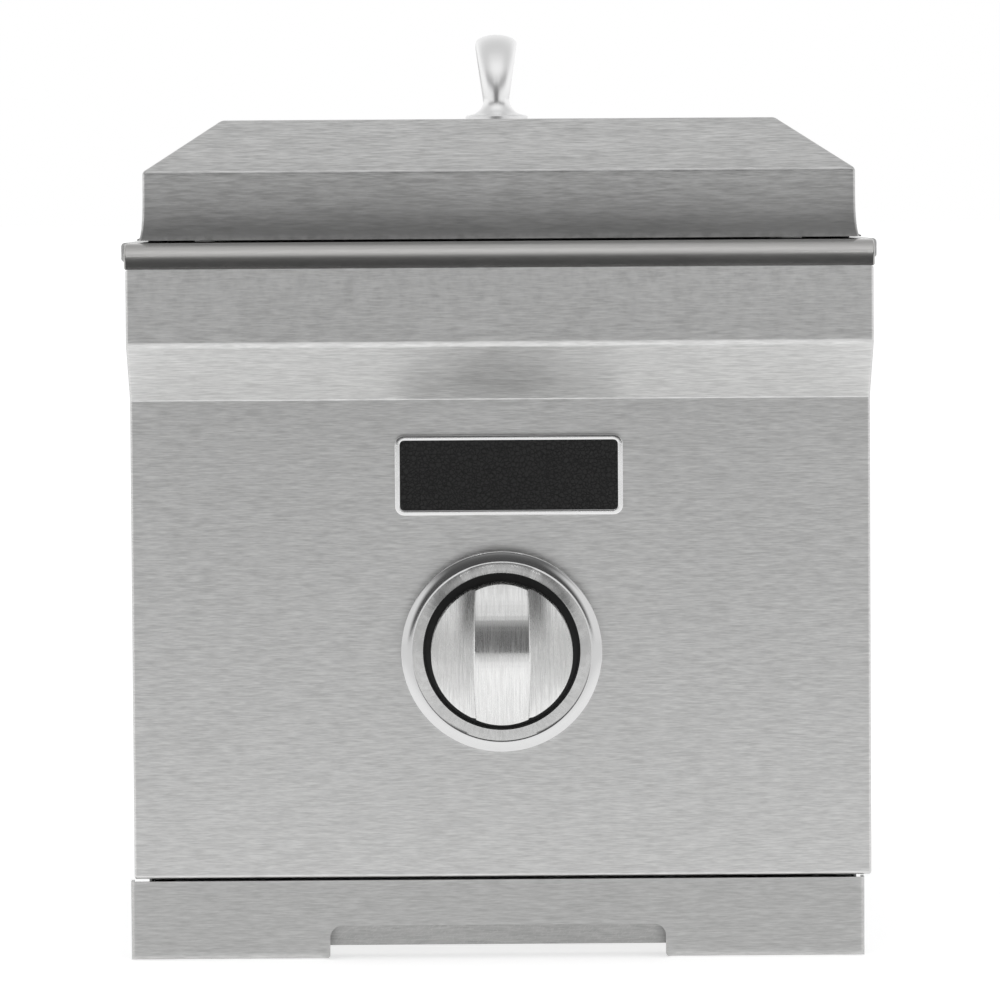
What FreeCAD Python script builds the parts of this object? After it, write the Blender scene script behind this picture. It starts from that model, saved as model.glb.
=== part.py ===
import FreeCAD, Part
import math
import os
import re
import Sketcher

# Built-in gas side burner: a drop-in box with a fascia, a lift-off lid, a burner in a bowl,
# a push-and-turn valve and a pull-out drip tray. Millimetres, +Z up, front faces -Y.
# The origin is at the middle of the base.

vec = FreeCAD.Vector

# Driving sizes. Lengths run from the main face of the fascia, which stands at face_y.
SIZES = {
    # Sheet thicknesses and bends
    "panel_sheet": 1.2,
    "box_sheet": 1.0,
    "pan_sheet": 0.8,
    "bend_radius": 1.6,
    "seam_gap": 0.3,
    "screw_gap": 0.15,
    "weld_lap": 0.2,
    # Fascia
    "fascia_width": 305.0,
    "fascia_return": 12.0,
    "main_face_height": 198.0,
    "facet_height": 23.0,
    "nose_height": 31.3,
    "nose_proud": 25.0,
    "crease_proud": 17.5,
    "bead_height": 10.7,
    # Deck and box
    "deck_width": 312.5,
    "deck_run": 497.0,
    "deck_lip": 8.0,
    "deck_ledge": 7.5,
    "deck_rear_lip": 12.0,
    "deck_tongue": 10.0,
    "deck_overhang": 9.25,
    "box_run": 480.0,
    "box_flange": 12.0,
    "wall_tab_height": 180.0,
    "wall_tab_flange": 3.4,
    "wall_tab_rise": 10.0,
    "rear_flange_rise": 6.0,
    "tongue_gap": 1.0,
    "rear_panel_lift": 2.0,
    "rear_screw_drop": 20.0,
    "rear_screw_pitch_z": 110.0,
    "rear_screw_head": 4.0,
    "rear_screw_head_height": 2.2,
    "rear_screw_radius": 1.8,
    "rear_screw_length": 6.0,
    "vent_width": 34.0,
    "vent_height": 5.0,
    "vent_pitch_x": 46.0,
    "vent_pitch_z": 13.0,
    "vent_columns": 5,
    "vent_rows": 4,
    "vent_rise": 60.0,
    # Badge plate
    "badge_width": 94.0,
    "badge_height": 33.0,
    "badge_thick": 2.4,
    "badge_rim": 2.1,
    "badge_sink": 0.6,
    "badge_corner": 2.3,
    "badge_offset_x": 3.4,
    "badge_drop": 31.4,
    "badge_stud_radius": 1.5,
    "badge_stud_pitch": 74.0,
    "badge_stud_length": 5.0,
    "push_nut_radius": 4.0,
    "push_nut_thick": 1.0,
    # Knob and bezel
    "knob_drop": 104.0,
    "bezel_radius": 41.5,
    "bezel_crest_radius": 37.0,
    "bezel_mouth_radius": 32.2,
    "bezel_proud": 8.0,
    "bezel_floor": 1.2,
    "bezel_floor_hole": 8.5,
    "bezel_lip_drop": 2.6,
    "bezel_lip_radius": 5.2,
    "bezel_slope_radius": 10.5,
    "bezel_edge": 0.8,
    "knob_radius": 29.2,
    "knob_proud": 36.0,
    "knob_back_gap": 7.0,
    "knob_bar_width": 23.6,
    "knob_bar_rise": 6.5,
    "knob_wing_step": 9.0,
    "knob_valley": 7.5,
    "knob_hub_radius": 11.0,
    "knob_insert_radius": 8.0,
    "knob_wall": 2.6,
    "knob_edge": 0.9,
    "knob_draft": 0.4,
    "knob_side_radius": 26.0,
    "knob_head": 12.0,
    "push_travel": 4.5,
    "push_spare": 0.5,
    # Valve
    "stem_radius": 4.0,
    "stem_flat": 2.8,
    "stem_collar_radius": 6.6,
    "stem_collar": 1.5,
    "stem_hole_gap": 0.5,
    "running_gap": 0.08,
    "bonnet_width": 46.0,
    "bonnet_height": 24.0,
    "bonnet_thick": 3.0,
    "bonnet_corner": 5.0,
    "bonnet_screw_pitch": 34.0,
    "bonnet_screw_head": 3.4,
    "bonnet_screw_head_height": 1.8,
    "bonnet_screw_radius": 1.8,
    "valve_block": 30.0,
    "valve_block_height": 28.0,
    "valve_block_run": 26.0,
    "valve_corner": 4.0,
    "valve_tail_radius": 11.5,
    "valve_run": 42.0,
    "plug_front_radius": 9.0,
    "plug_rear_radius": 7.0,
    "plug_run": 20.0,
    "plug_end_gap": 0.5,
    "plug_passage_inset": 6.0,
    "spring_room": 10.0,
    "spring_radius": 5.6,
    "spring_wire": 0.9,
    "spring_turns": 3.5,
    "spring_gap": 0.2,
    "plug_slot_width": 4.0,
    "plug_slot_gap": 0.15,
    "plug_slot_depth": 10.0,
    "plug_passage_radius": 2.0,
    "gas_passage": 2.5,
    "outlet_rise": 24.0,
    "outlet_radius": 7.0,
    "inlet_reach": 26.0,
    "inlet_radius": 8.5,
    # Gas tubes
    "feed_tube_radius": 4.0,
    "feed_tube_wall": 1.0,
    "feed_bend": 18.0,
    "supply_tube_radius": 6.0,
    "supply_tube_wall": 1.2,
    "supply_bend": 24.0,
    "supply_x": 105.0,
    "flare_nut_flats": 20.0,
    "flare_nut_height": 12.0,
    "flare_nut_lap": 6.0,
    "inlet_hex_flats": 27.0,
    "inlet_hex_run": 14.0,
    "inlet_outside": 13.0,
    "inlet_bore": 9.1,
    "inlet_bore_depth": 12.0,
    "locknut_flats": 32.0,
    "locknut_thick": 5.0,
    "inlet_thread_radius": 11.0,
    # Lid
    "lid_width": 294.0,
    "lid_length": 480.0,
    "lid_set_back": 16.0,
    "lid_wall": 28.0,
    "lid_slope_run": 31.4,
    "lid_slope_rise": 21.4,
    "lid_corner": 2.0,
    "lid_hem": 9.0,
    "lid_foot": 1.6,
    "lid_foot_thick": 0.5,
    "lid_foot_radius": 1.9,
    "bumper_height": 1.0,
    "bumper_radius": 4.0,
    "bumper_inset": 30.0,
    "handle_span": 132.0,
    "handle_height": 39.0,
    "handle_foot_radius": 13.6,
    "handle_foot_rim": 3.0,
    "handle_rim_step": 0.8,
    "handle_rim_slope": 0.4,
    "handle_foot_rise": 10.5,
    "handle_flare_radius": 7.4,
    "handle_spigot": 1.5,
    "handle_spigot_step": 0.1,
    "handle_oval_excess": 0.02,
    "handle_neck_width": 11.0,
    "handle_grip_width": 18.3,
    "handle_grip_thick": 8.0,
    "handle_shoulder_run": 30.0,
    "handle_screw_radius": 2.5,
    "handle_screw_head": 4.5,
    "handle_screw_head_height": 3.0,
    "handle_washer_radius": 6.5,
    "handle_washer_thick": 1.0,
    # Drip tray
    "tray_ground_gap": 0.5,
    "tray_front_height": 32.5,
    "tray_panel_gap": 1.0,
    "tray_front_width": 303.6,
    "tray_front_return": 8.0,
    "tray_side_shift": 2.2,
    "notch_width": 139.0,
    "notch_height": 13.7,
    "notch_corner": 5.0,
    "notch_mouth_corner": 1.5,
    "pan_set_back": 18.0,
    "pan_side_gap": 2.3,
    "pan_length": 430.0,
    "pan_floor_z": 7.0,
    "pan_rim_z": 28.9,
    "pan_rim": 8.0,
    "pan_corner": 6.0,
    "pan_tab": 8.0,
    "pan_rim_lap": 1.0,
    "tray_stud_pitch": 180.0,
    "tray_stud_radius": 1.6,
    "tray_stud_length": 3.4,
    "tray_nut_flats": 5.5,
    "tray_nut_height": 2.0,
    "runner_lift": 0.3,
    "runner_ledge": 8.0,
    "runner_headroom": 2.4,
    "runner_rear_gap": 8.0,
    "runner_length": 450.0,
    # Bowl and grate
    "bowl_width": 240.0,
    "bowl_length": 360.0,
    "bowl_rim": 8.0,
    "bowl_step": 12.0,
    "bowl_ledge": 12.0,
    "bowl_depth": 70.0,
    "bowl_corner": 14.0,
    "drain_radius": 9.0,
    "drain_pitch": 190.0,
    "drain_offset": 60.0,
    "grate_gap": 2.0,
    "grate_height": 16.0,
    "grate_frame": 9.0,
    "grate_finger": 6.0,
    "grate_finger_height": 12.0,
    "grate_ring_radius": 52.0,
    "grate_eye_radius": 26.0,
    "grate_cross_pitch": 234.0,
    "grate_rail_pitch": 150.0,
    "grate_bar_pitch": 75.0,
    "grate_lap": 3.0,
    "grate_inner_corner": 6.0,
    # Burner
    "burner_hole": 33.0,
    "burner_flange_radius": 42.0,
    "burner_flange": 3.0,
    "burner_cup_radius": 31.0,
    "burner_cup_depth": 40.0,
    "burner_wall": 3.0,
    "head_radius": 40.0,
    "head_seat_radius": 30.0,
    "head_height": 15.0,
    "head_port_width": 2.6,
    "head_port_depth": 5.0,
    "head_port_count": 28,
    "head_port_run": 12.0,
    "head_seat_wall": 6.0,
    "head_rim": 9.0,
    "head_shoulder": 3.0,
    "head_floor": 3.0,
    "cap_radius": 42.0,
    "cap_thick": 6.0,
    "cap_skirt": 2.5,
    "cap_skirt_gap": 1.0,
    "cap_skirt_wall": 4.0,
    "cap_edge": 3.3,
    "cap_dish_rim": 12.0,
    "cap_dish_slope": 3.0,
    "cap_dish": 1.0,
    "burner_socket_run": 8.0,
    "burner_socket_wall": 2.0,
    "burner_screw_pitch": 74.0,
    "burner_screw_head": 3.4,
    "burner_screw_head_height": 2.0,
    "burner_screw_radius": 1.7,
    "burner_screw_length": 8.0,
    "mixing_tube_radius": 12.0,
    "mixing_tube_wall": 1.5,
    "mixing_tube_run": 108.0,
    "mixing_bell_radius": 17.0,
    "mixing_bell_run": 12.0,
    "mixing_bell_rim": 5.0,
    "mixing_neck_run": 6.0,
    "mixing_fit": 0.1,
    "shutter_thick": 1.2,
    "shutter_rim": 7.0,
    "shutter_window": 4.0,
    "shutter_window_pitch": 10.5,
    "shutter_windows": 4,
    "spud_way_radius": 5.5,
    "shutter_tab": 8.0,
    "shutter_screw_head": 2.6,
    "shutter_screw_head_height": 1.8,
    "shutter_screw_radius": 1.5,
    "spud_stand_off": 3.0,
    "spud_bore": 0.8,
    "spud_nose": 3.0,
    "spud_tip_radius": 2.2,
    "spud_radius": 4.5,
    "spud_run": 14.0,
    "holder_block": 18.0,
    "holder_face": 16.0,
    "orifice_plate": 1.5,
    "orifice_ear": 14.0,
    "orifice_inset": 2.0,
    # Ignition
    "electrode_radius": 3.5,
    "electrode_rod": 1.2,
    "electrode_offset": 50.0,
    "insulator_tail": 14.0,
    "insulator_rise": 16.0,
    "electrode_plate": 2.0,
    "electrode_collar": 1.5,
    "electrode_collar_rim": 1.2,
    "electrode_fit": 0.02,
    "electrode_tail_step": 0.8,
    "electrode_tail_share": 0.4,
    "electrode_end": 4.0,
    "electrode_head": 3.0,
    "spark_gap": 3.0,
    "electrode_clip_width": 20.4,
    "electrode_clip_run": 14.0,
    "clip_screw_offset": 7.6,
    "clip_screw_head": 2.4,
    "clip_screw_head_height": 1.6,
    "clip_screw_radius": 1.4,
    "igniter_width": 14.0,
    "igniter_run": 38.0,
    "igniter_height": 20.0,
    "igniter_corner": 2.0,
    "terminal_radius": 2.5,
    "terminal_run": 6.0,
    "lead_radius": 1.6,
    "lead_bend": 20.0,
    "lead_level_end": 60.0,
    "lead_drop": 44.0,
    # Heat shield
    "shield_drop": 23.0,
    "shield_run": 96.0,
    "shield_width": 240.0,
    "shield_flange": 14.0,
    "shield_hole": 9.0,
}

# Places worked out from the sizes above.
PLACES = {
    "face_y": "-(deck_run - knob_proud) / 2",
    "panel_bottom": "tray_ground_gap + tray_front_height + tray_panel_gap",
    "facet_bottom": "panel_bottom + main_face_height",
    "nose_bottom": "facet_bottom + facet_height",
    "crease_z": "nose_bottom + nose_height",
    "bead_radius": "bead_height / 2",
    "deck_z": "crease_z + bead_height",
    "deck_under": "deck_z - panel_sheet",
    "deck_front": "face_y + fascia_return + seam_gap",
    "deck_back": "face_y + deck_run",
    "box_width": "deck_width - 2 * deck_overhang",
    "box_back": "face_y + box_run",
    "wall_back": "box_back - box_sheet",
    "wall_inner": "box_width / 2 - box_sheet",
    "knob_z": "facet_bottom - knob_drop",
    "rear_screw_x": "(box_width - box_flange) / 2",
    "rear_screw_z": "knob_z - rear_screw_drop",
    "badge_z": "facet_bottom - badge_drop",
    "knob_front": "face_y - knob_proud",
    "knob_back": "face_y - knob_back_gap",
    "bonnet_front": "face_y + panel_sheet",
    "block_front": "bonnet_front + bonnet_thick",
    "collar_front": "block_front + stem_hole_gap",
    "plug_front": "collar_front + stem_collar + spring_room",
    "shaft_end": "plug_front - push_travel - push_spare",
    "plug_back": "plug_front + plug_run",
    "passage_y": "plug_back - plug_passage_inset",
    "outlet_z": "knob_z + outlet_rise",
    "lid_front": "face_y - nose_proud + lid_set_back",
    "middle_y": "lid_front + lid_length / 2",
    "lid_z": "deck_z + bumper_height",
    "lid_shoulder_z": "lid_z + lid_wall",
    "lid_top_z": "lid_shoulder_z + lid_slope_rise",
    "ledge_z": "deck_z - bowl_step",
    "bowl_floor_z": "deck_z - bowl_depth",
    "grate_width": "bowl_width - 2 * (box_sheet + grate_gap)",
    "grate_length": "bowl_length - 2 * (box_sheet + grate_gap)",
    "grate_top_z": "ledge_z + grate_height",
    "base_z": "bowl_floor_z + box_sheet",
    "head_z": "base_z + burner_flange",
    "cap_z": "head_z + head_height",
    "mixing_z": "bowl_floor_z - burner_cup_depth + 2 * burner_wall + mixing_tube_radius",
    "mixing_front": "middle_y - mixing_tube_run - mixing_bell_run",
    "shutter_front": "mixing_front - shutter_thick",
    "spud_front": "shutter_front - spud_stand_off",
    "holder_y": "spud_front - spud_run / 2 - holder_block / 2",
    "pan_front": "face_y + pan_set_back",
    "pan_width": "2 * (wall_inner - tray_side_shift - pan_side_gap - pan_rim)",
    "tray_x": "-tray_side_shift",
    "tray_stud_z": "pan_rim_z - pan_tab / 2",
    "runner_ledge_z": "pan_rim_z - pan_sheet - runner_lift - box_sheet",
    "runner_top_z": "pan_rim_z + runner_headroom + box_sheet",
    "inlet_y": "wall_back - inlet_hex_run",
    "shield_z": "mixing_z - shield_drop",
}

# Cubic millimetres that a pocket has to take away.
LEAST_CUT = 0.01

doc = FreeCAD.newDocument("built_in_side_burner")
nodes = []


def fill_sheet(name, cells):
    """Write one named cell for each entry and return the sheet."""
    sheet = doc.addObject("Spreadsheet::Sheet", name)
    for row, (alias, content) in enumerate(cells.items(), 1):
        sheet.set(f"A{row}", alias)
        sheet.set(f"B{row}", str(content))
        sheet.setAlias(f"B{row}", alias)
    doc.recompute()
    return sheet


def bound(formula, own_places=False):
    """Point every size and place that a formula names at its cell."""

    def cell(match):
        word = match.group(0)
        if word in SIZES:
            return "Sizes." + word
        if word in PLACES and not own_places:
            return "Places." + word
        return word

    return re.sub(r"[a-z][a-z_]*", cell, str(formula))


sizes = fill_sheet("Sizes", SIZES)
places = fill_sheet("Places", {name: "=" + bound(text, True) for name, text in PLACES.items()})


def value(formula):
    """The number that a formula gives now."""
    return float(sizes.evalExpression(bound(formula)))


def bind(feature, prop, formula):
    """Tie a property to a formula of the sheet's cells."""
    feature.setExpression(prop, bound(formula))


# Sketches


def new_body(name, x="0", y="0", z="0"):
    """A body whose own origin stands at x, y, z of the part."""
    body = doc.addObject("PartDesign::Body", name)
    body.Label = name
    place(body, x, y, z)
    nodes.append(body)
    return body


def place(feature, x, y, z):
    """Tie a feature's place to three formulas."""
    for axis, formula in zip("xyz", (x, y, z)):
        bind(feature, f"Placement.Base.{axis}", formula)


def new_sketch(body, name, plane, offset="0"):
    """A sketch on one of the body's origin planes, moved along that plane's normal."""
    sketch = body.newObject("Sketcher::SketchObject", f"{body.Name}_{name}")
    support = next(item for item in body.Origin.OriginFeatures if item.Role == plane)
    sketch.AttachmentSupport = [(support, "")]
    sketch.MapMode = "FlatFace"
    bind(sketch, "AttachmentOffset.Base.z", offset)
    return sketch


def limit(sketch, kind, *place):
    """Add a dimension whose last entry is a formula."""
    index = sketch.addConstraint(Sketcher.Constraint(kind, *place[:-1], value(place[-1])))
    sketch.setExpression(f"Constraints[{index}]", bound(place[-1]))


def arc_middle(start, end, radius, side):
    """The middle point of an arc that bulges left (+1) or right (-1) of its travel."""
    chord = end - start
    half = chord.Length / 2
    left = vec(-chord.y, chord.x, 0).normalize()
    rise = radius - math.sqrt(max(radius * radius - half * half, 0))
    return (start + end) * 0.5 + left * (side * rise)


def outline(sketch, corners):
    """Close an outline through corners (x, y); (x, y, radius, side) starts an arc edge."""
    spots = [vec(value(corner[0]), value(corner[1]), 0) for corner in corners]
    edges = []
    for index, corner in enumerate(corners):
        start = spots[index]
        end = spots[(index + 1) % len(corners)]
        if len(corner) == 2:
            edge = sketch.addGeometry(Part.LineSegment(start, end))
        else:
            middle = arc_middle(start, end, value(corner[2]), corner[3])
            edge = sketch.addGeometry(Part.Arc(start, middle, end))
        swapped = (sketch.getPoint(edge, 1) - start).Length > (sketch.getPoint(edge, 2) - start).Length
        edges.append((edge, 2, 1) if swapped else (edge, 1, 2))
    for index, (edge, first, last) in enumerate(edges):
        following = edges[(index + 1) % len(edges)]
        sketch.addConstraint(Sketcher.Constraint("Coincident", edge, last, following[0], following[1]))
    for corner, (edge, first, last) in zip(corners, edges):
        limit(sketch, "DistanceX", -1, 1, edge, first, corner[0])
        limit(sketch, "DistanceY", -1, 1, edge, first, corner[1])
        if len(corner) > 2:
            limit(sketch, "Radius", edge, corner[2])


def rectangle(sketch, left, low, right, high):
    """A rectangle between two opposite corners."""
    outline(sketch, [(left, low), (right, low), (right, high), (left, high)])


def centred_rectangle(sketch, width, height, x="0", y="0"):
    """A rectangle of a given width and height about a centre."""
    half_w = f"({width}) / 2"
    half_h = f"({height}) / 2"
    rectangle(sketch, f"{x} - {half_w}", f"{y} - {half_h}", f"{x} + {half_w}", f"{y} + {half_h}")


def circle(sketch, x, y, radius):
    """A circle about a centre."""
    disc = Part.Circle(vec(value(x), value(y), 0), vec(0, 0, 1), value(radius))
    edge = sketch.addGeometry(disc)
    limit(sketch, "DistanceX", -1, 1, edge, 3, x)
    limit(sketch, "DistanceY", -1, 1, edge, 3, y)
    limit(sketch, "Radius", edge, radius)


# Features


def pad(body, sketch, length, midplane=False, reverse=False):
    """Raise a sketch by a length along its plane's normal."""
    feature = body.newObject("PartDesign::Pad", sketch.Name + "_pad")
    feature.Profile = sketch
    bind(feature, "Length", length)
    feature.Midplane = midplane
    feature.Reversed = reverse
    doc.recompute()
    return feature


def pocket(body, sketch, length=None, reverse=False):
    """Cut a sketch to a depth, or right through both ways when no length is given."""
    before = body.Shape.Volume
    feature = body.newObject("PartDesign::Pocket", sketch.Name + "_pocket")
    feature.Profile = sketch
    if length is None:
        feature.Type = "ThroughAll"
        feature.Midplane = True
    else:
        bind(feature, "Length", length)
        feature.Reversed = reverse
    doc.recompute()
    if before - body.Shape.Volume < LEAST_CUT:
        raise ValueError(f"{feature.Name} cuts nothing")
    return feature


def revolve(body, sketch, axis="V_Axis", cut=False):
    """Turn a sketch a full turn about one of its own axes, as a solid or as a cut."""
    kind = "PartDesign::Groove" if cut else "PartDesign::Revolution"
    feature = body.newObject(kind, sketch.Name + ("_groove" if cut else "_turned"))
    feature.Profile = sketch
    feature.ReferenceAxis = (sketch, [axis])
    feature.Angle = 360.0
    doc.recompute()
    return feature


def edges_where(feature, test):
    """Names of the edges whose box passes a test."""
    edges = feature.Shape.Edges
    return [f"Edge{index}" for index, edge in enumerate(edges, 1) if test(edge.BoundBox)]


def round_edges(body, base, radius, test):
    """Round the edges that pass a test."""
    feature = body.newObject("PartDesign::Fillet", body.Name + "_round")
    feature.Base = (base, edges_where(base, test))
    bind(feature, "Radius", radius)
    doc.recompute()
    return feature


def shell(body, base, sheet, test):
    """Hollow a form to a sheet thickness, open at the faces that pass a test."""
    feature = body.newObject("PartDesign::Thickness", body.Name + "_sheet")
    faces = base.Shape.Faces
    feature.Base = (base, [f"Face{index}" for index, face in enumerate(faces, 1) if test(face.BoundBox)])
    bind(feature, "Value", sheet)
    feature.Reversed = True
    feature.Join = 0
    doc.recompute()
    return feature


def repeat_round(body, feature, sketch, count):
    """Repeat a feature evenly round the normal of its sketch."""
    pattern = body.newObject("PartDesign::PolarPattern", feature.Name + "_ring")
    pattern.Originals = [feature]
    pattern.Axis = (sketch, ["N_Axis"])
    pattern.Angle = 360.0
    bind(pattern, "Occurrences", count)
    body.Tip = pattern
    doc.recompute()
    return pattern


def near(first, second, slack=0.01):
    """Whether two lengths agree."""
    return abs(first - second) < slack


def turned_part(name, profile, x="0", y="0", z="0", plane="XY_Plane"):
    """A body made by turning one outline about the upright axis of its sketch."""
    body = new_body(name, x, y, z)
    sketch = new_sketch(body, "profile", plane)
    outline(sketch, profile)
    revolve(body, sketch)
    return body


# Fasteners


def hexagon_prism(flats, height):
    """A plain hexagon block that stands on z = 0."""
    radius = value(flats) / math.sqrt(3)
    turns = [math.pi * corner / 3 for corner in range(6)]
    ring = [vec(radius * math.cos(turn), radius * math.sin(turn), 0) for turn in turns]
    return Part.Face(Part.makePolygon(ring + ring[:1])).extrude(vec(0, 0, value(height)))


def screw_shape(kind, length):
    """A hexagon-headed screw: its head stands on z = 0 and its shank runs down from there."""
    head = hexagon_prism(f"2 * {kind}_head * sqrt(3) / 2", f"{kind}_head_height")
    shank = Part.makeCylinder(value(f"{kind}_radius"), value(length), vec(0, 0, -value(length)))
    return head.fuse(shank)


def washer_shape(radius, bore, thick):
    """A flat ring that stands on z = 0, with screw clearance in its bore."""
    disc = Part.makeCylinder(value(radius), value(thick))
    return disc.cut(Part.makeCylinder(value(f"{bore} + screw_gap"), value(thick)))


def fastener_group(name, shape, spots, direction):
    """Copies of one fastener at several spots, kept as separate solids of one sub-part."""
    turn = FreeCAD.Rotation(vec(0, 0, 1), vec(*direction))
    copies = []
    for x, y, z in spots:
        copy = shape.copy()
        copy.Placement = FreeCAD.Placement(vec(value(x), value(y), value(z)), turn)
        copies.append(copy)
    group = doc.addObject("Part::Feature", name)
    group.Shape = Part.makeCompound(copies)
    group.Label = name
    nodes.append(group)
    return group


# Fascia


def make_front_panel():
    """Folded fascia: main face, facet, leaning nose and a rolled bead, open at the back."""
    body = new_body("front_panel", y="face_y")
    profile = new_sketch(body, "profile", "YZ_Plane")
    outline(profile, [
        ("fascia_return", "panel_bottom"),
        ("0", "panel_bottom"),
        ("0", "facet_bottom"),
        ("-nose_proud", "nose_bottom"),
        ("-crease_proud", "crease_z"),
        ("-nose_proud + bead_radius", "crease_z", "bead_radius", 1),
        ("-nose_proud", "crease_z + bead_radius", "bead_radius", 1),
        ("-nose_proud + bead_radius", "deck_z"),
        ("fascia_return", "deck_z"),
    ])
    solid = pad(body, profile, "fascia_width", midplane=True)
    edge_x = value("fascia_width / 2")
    top = value("nose_bottom")
    folds = round_edges(
        body, solid, "bend_radius",
        lambda box: near(abs(box.XMin), edge_x) and near(box.XLength, 0)
        and box.ZMax < top + 0.01 and box.ZLength > 1 and box.YMax < 0.01,
    )
    back = value("fascia_return")
    shell(body, folds, "panel_sheet", lambda box: near(box.YMin, back) and near(box.YLength, 0))
    holes = new_sketch(body, "holes", "XZ_Plane")
    circle(holes, "0", "knob_z", "stem_radius + 2 * stem_hole_gap")
    for side in ("-", "+"):
        circle(holes, f"0 {side} bonnet_screw_pitch / 2", "knob_z", "bonnet_screw_radius + screw_gap")
        circle(holes, f"badge_offset_x {side} badge_stud_pitch / 2", "badge_z", "badge_stud_radius + screw_gap")
    pocket(body, holes)


def make_badge():
    """Blank badge plate with a raised rim, two studs and their push nuts."""
    body = new_body("badge_plate", "badge_offset_x", "face_y", "badge_z")
    plate = new_sketch(body, "plate", "XZ_Plane")
    centred_rectangle(plate, "badge_width", "badge_height")
    slab = pad(body, plate, "badge_thick")
    round_edges(
        body, slab, "badge_corner", lambda box: near(box.XLength, 0) and near(box.ZLength, 0))
    field = new_sketch(body, "field", "XZ_Plane", "badge_thick")
    centred_rectangle(field, "badge_width - 2 * badge_rim", "badge_height - 2 * badge_rim")
    pocket(body, field, "badge_sink")
    studs = new_sketch(body, "studs", "XZ_Plane")
    for side in ("-", "+"):
        circle(studs, f"0 {side} badge_stud_pitch / 2", "0", "badge_stud_radius")
    pad(body, studs, "badge_stud_length", reverse=True)
    nut = washer_shape("push_nut_radius", "badge_stud_radius", "push_nut_thick")
    spots = [
        (f"badge_offset_x {side} badge_stud_pitch / 2", "face_y + panel_sheet", "badge_z")
        for side in ("-", "+")
    ]
    fastener_group("badge_push_nuts", nut, spots, (0, 1, 0))


def make_bezel():
    """Flared ring round the knob, with a sunk floor that the stem and two screws pass."""
    body = turned_part("knob_bezel", [
        ("bezel_floor_hole", "0"),
        ("bezel_floor_hole", "-bezel_floor"),
        ("bezel_mouth_radius", "-bezel_floor"),
        ("bezel_mouth_radius", "-bezel_proud + bezel_lip_drop", "bezel_lip_radius", -1),
        ("bezel_crest_radius", "-bezel_proud", "bezel_slope_radius", -1),
        ("bezel_radius", "-bezel_edge"),
        ("bezel_radius", "0"),
    ], y="face_y", z="knob_z")
    holes = new_sketch(body, "screw_holes", "XZ_Plane")
    for side in ("-", "+"):
        circle(holes, f"0 {side} bonnet_screw_pitch / 2", "0", "bonnet_screw_radius + screw_gap")
    pocket(body, holes)


def make_knob():
    """Round knob cut to a bowed grip bar between two dished wings, hollow at the back."""
    body = new_body("control_knob", y="face_y", z="knob_z")
    blank = new_sketch(body, "blank", "XY_Plane")
    outline(blank, [
        ("0", "-knob_back_gap"),
        ("knob_radius", "-knob_back_gap"),
        ("knob_radius - knob_draft", "-knob_proud"),
        ("0", "-knob_proud"),
    ])
    revolve(body, blank)
    wings = new_sketch(body, "wings", "XY_Plane")
    reach = "knob_radius + 1"
    step = "-knob_proud + knob_wing_step"
    for side, turn in (("", 1), ("-", -1)):
        outline(wings, [
            (f"{side}(knob_bar_width / 2)", "-knob_proud - 1"),
            (f"{side}(knob_bar_width / 2)", f"{step} + knob_valley", "knob_side_radius", turn),
            (f"{side}({reach})", step),
            (f"{side}({reach})", "-knob_proud - 1"),
        ])
    pocket(body, wings)
    bow = new_sketch(body, "bow", "YZ_Plane")
    half = "knob_radius + 1"
    bow_radius = f"(({half})^2 + knob_bar_rise^2) / (2 * knob_bar_rise)"
    outline(bow, [
        ("-knob_proud + knob_bar_rise", f"-({half})", bow_radius, 1),
        ("-knob_proud + knob_bar_rise", half),
        ("-knob_proud - 1", half),
        ("-knob_proud - 1", f"-({half})"),
    ])
    bowed = pocket(body, bow)
    bar = value("knob_bar_width / 2")
    round_edges(
        body, bowed, "knob_edge",
        lambda box: near(box.XLength, 0) and near(abs(box.XMin), bar) and box.ZLength > 20
        and box.YMax < value("-knob_proud + knob_bar_rise + 1"),
    )
    hollow = new_sketch(body, "hollow", "XY_Plane")
    outline(hollow, [
        ("knob_hub_radius", "0"),
        ("knob_radius - knob_wall", "0"),
        ("knob_radius - knob_wall", "-knob_proud + knob_wing_step + knob_valley + knob_wall"),
        ("knob_hub_radius", "-knob_proud + knob_wing_step + knob_valley + knob_wall"),
    ])
    revolve(body, hollow, cut=True)
    bore = new_sketch(body, "bore", "XZ_Plane")
    circle(bore, "0", "0", "knob_insert_radius + running_gap")
    pocket(body, bore, "knob_proud - knob_head", reverse=True)


def make_knob_insert():
    """Bush inside the knob's hub, with a D-shaped bore for the stem."""
    body = new_body("knob_insert", y="face_y", z="knob_z")
    ring = new_sketch(body, "ring", "XZ_Plane", "knob_back_gap")
    circle(ring, "0", "0", "knob_insert_radius")
    pad(body, ring, "knob_proud - knob_head - knob_back_gap")
    d_bore(body, "stem_radius + running_gap", "stem_flat + running_gap")


def d_outline(sketch, radius, flat):
    """A round outline with one flat below its centre."""
    half = f"sqrt(({radius})^2 - ({flat})^2)"
    outline(sketch, [
        (f"-{half}", f"-({flat})"),
        (half, f"-({flat})", radius, -1),
        ("0", radius, radius, -1),
    ])


def d_bore(body, radius, flat):
    """Cut a D-shaped hole along the body's Y axis."""
    bore = new_sketch(body, "stem_bore", "XZ_Plane")
    d_outline(bore, radius, flat)
    pocket(body, bore)


# Box


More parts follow.
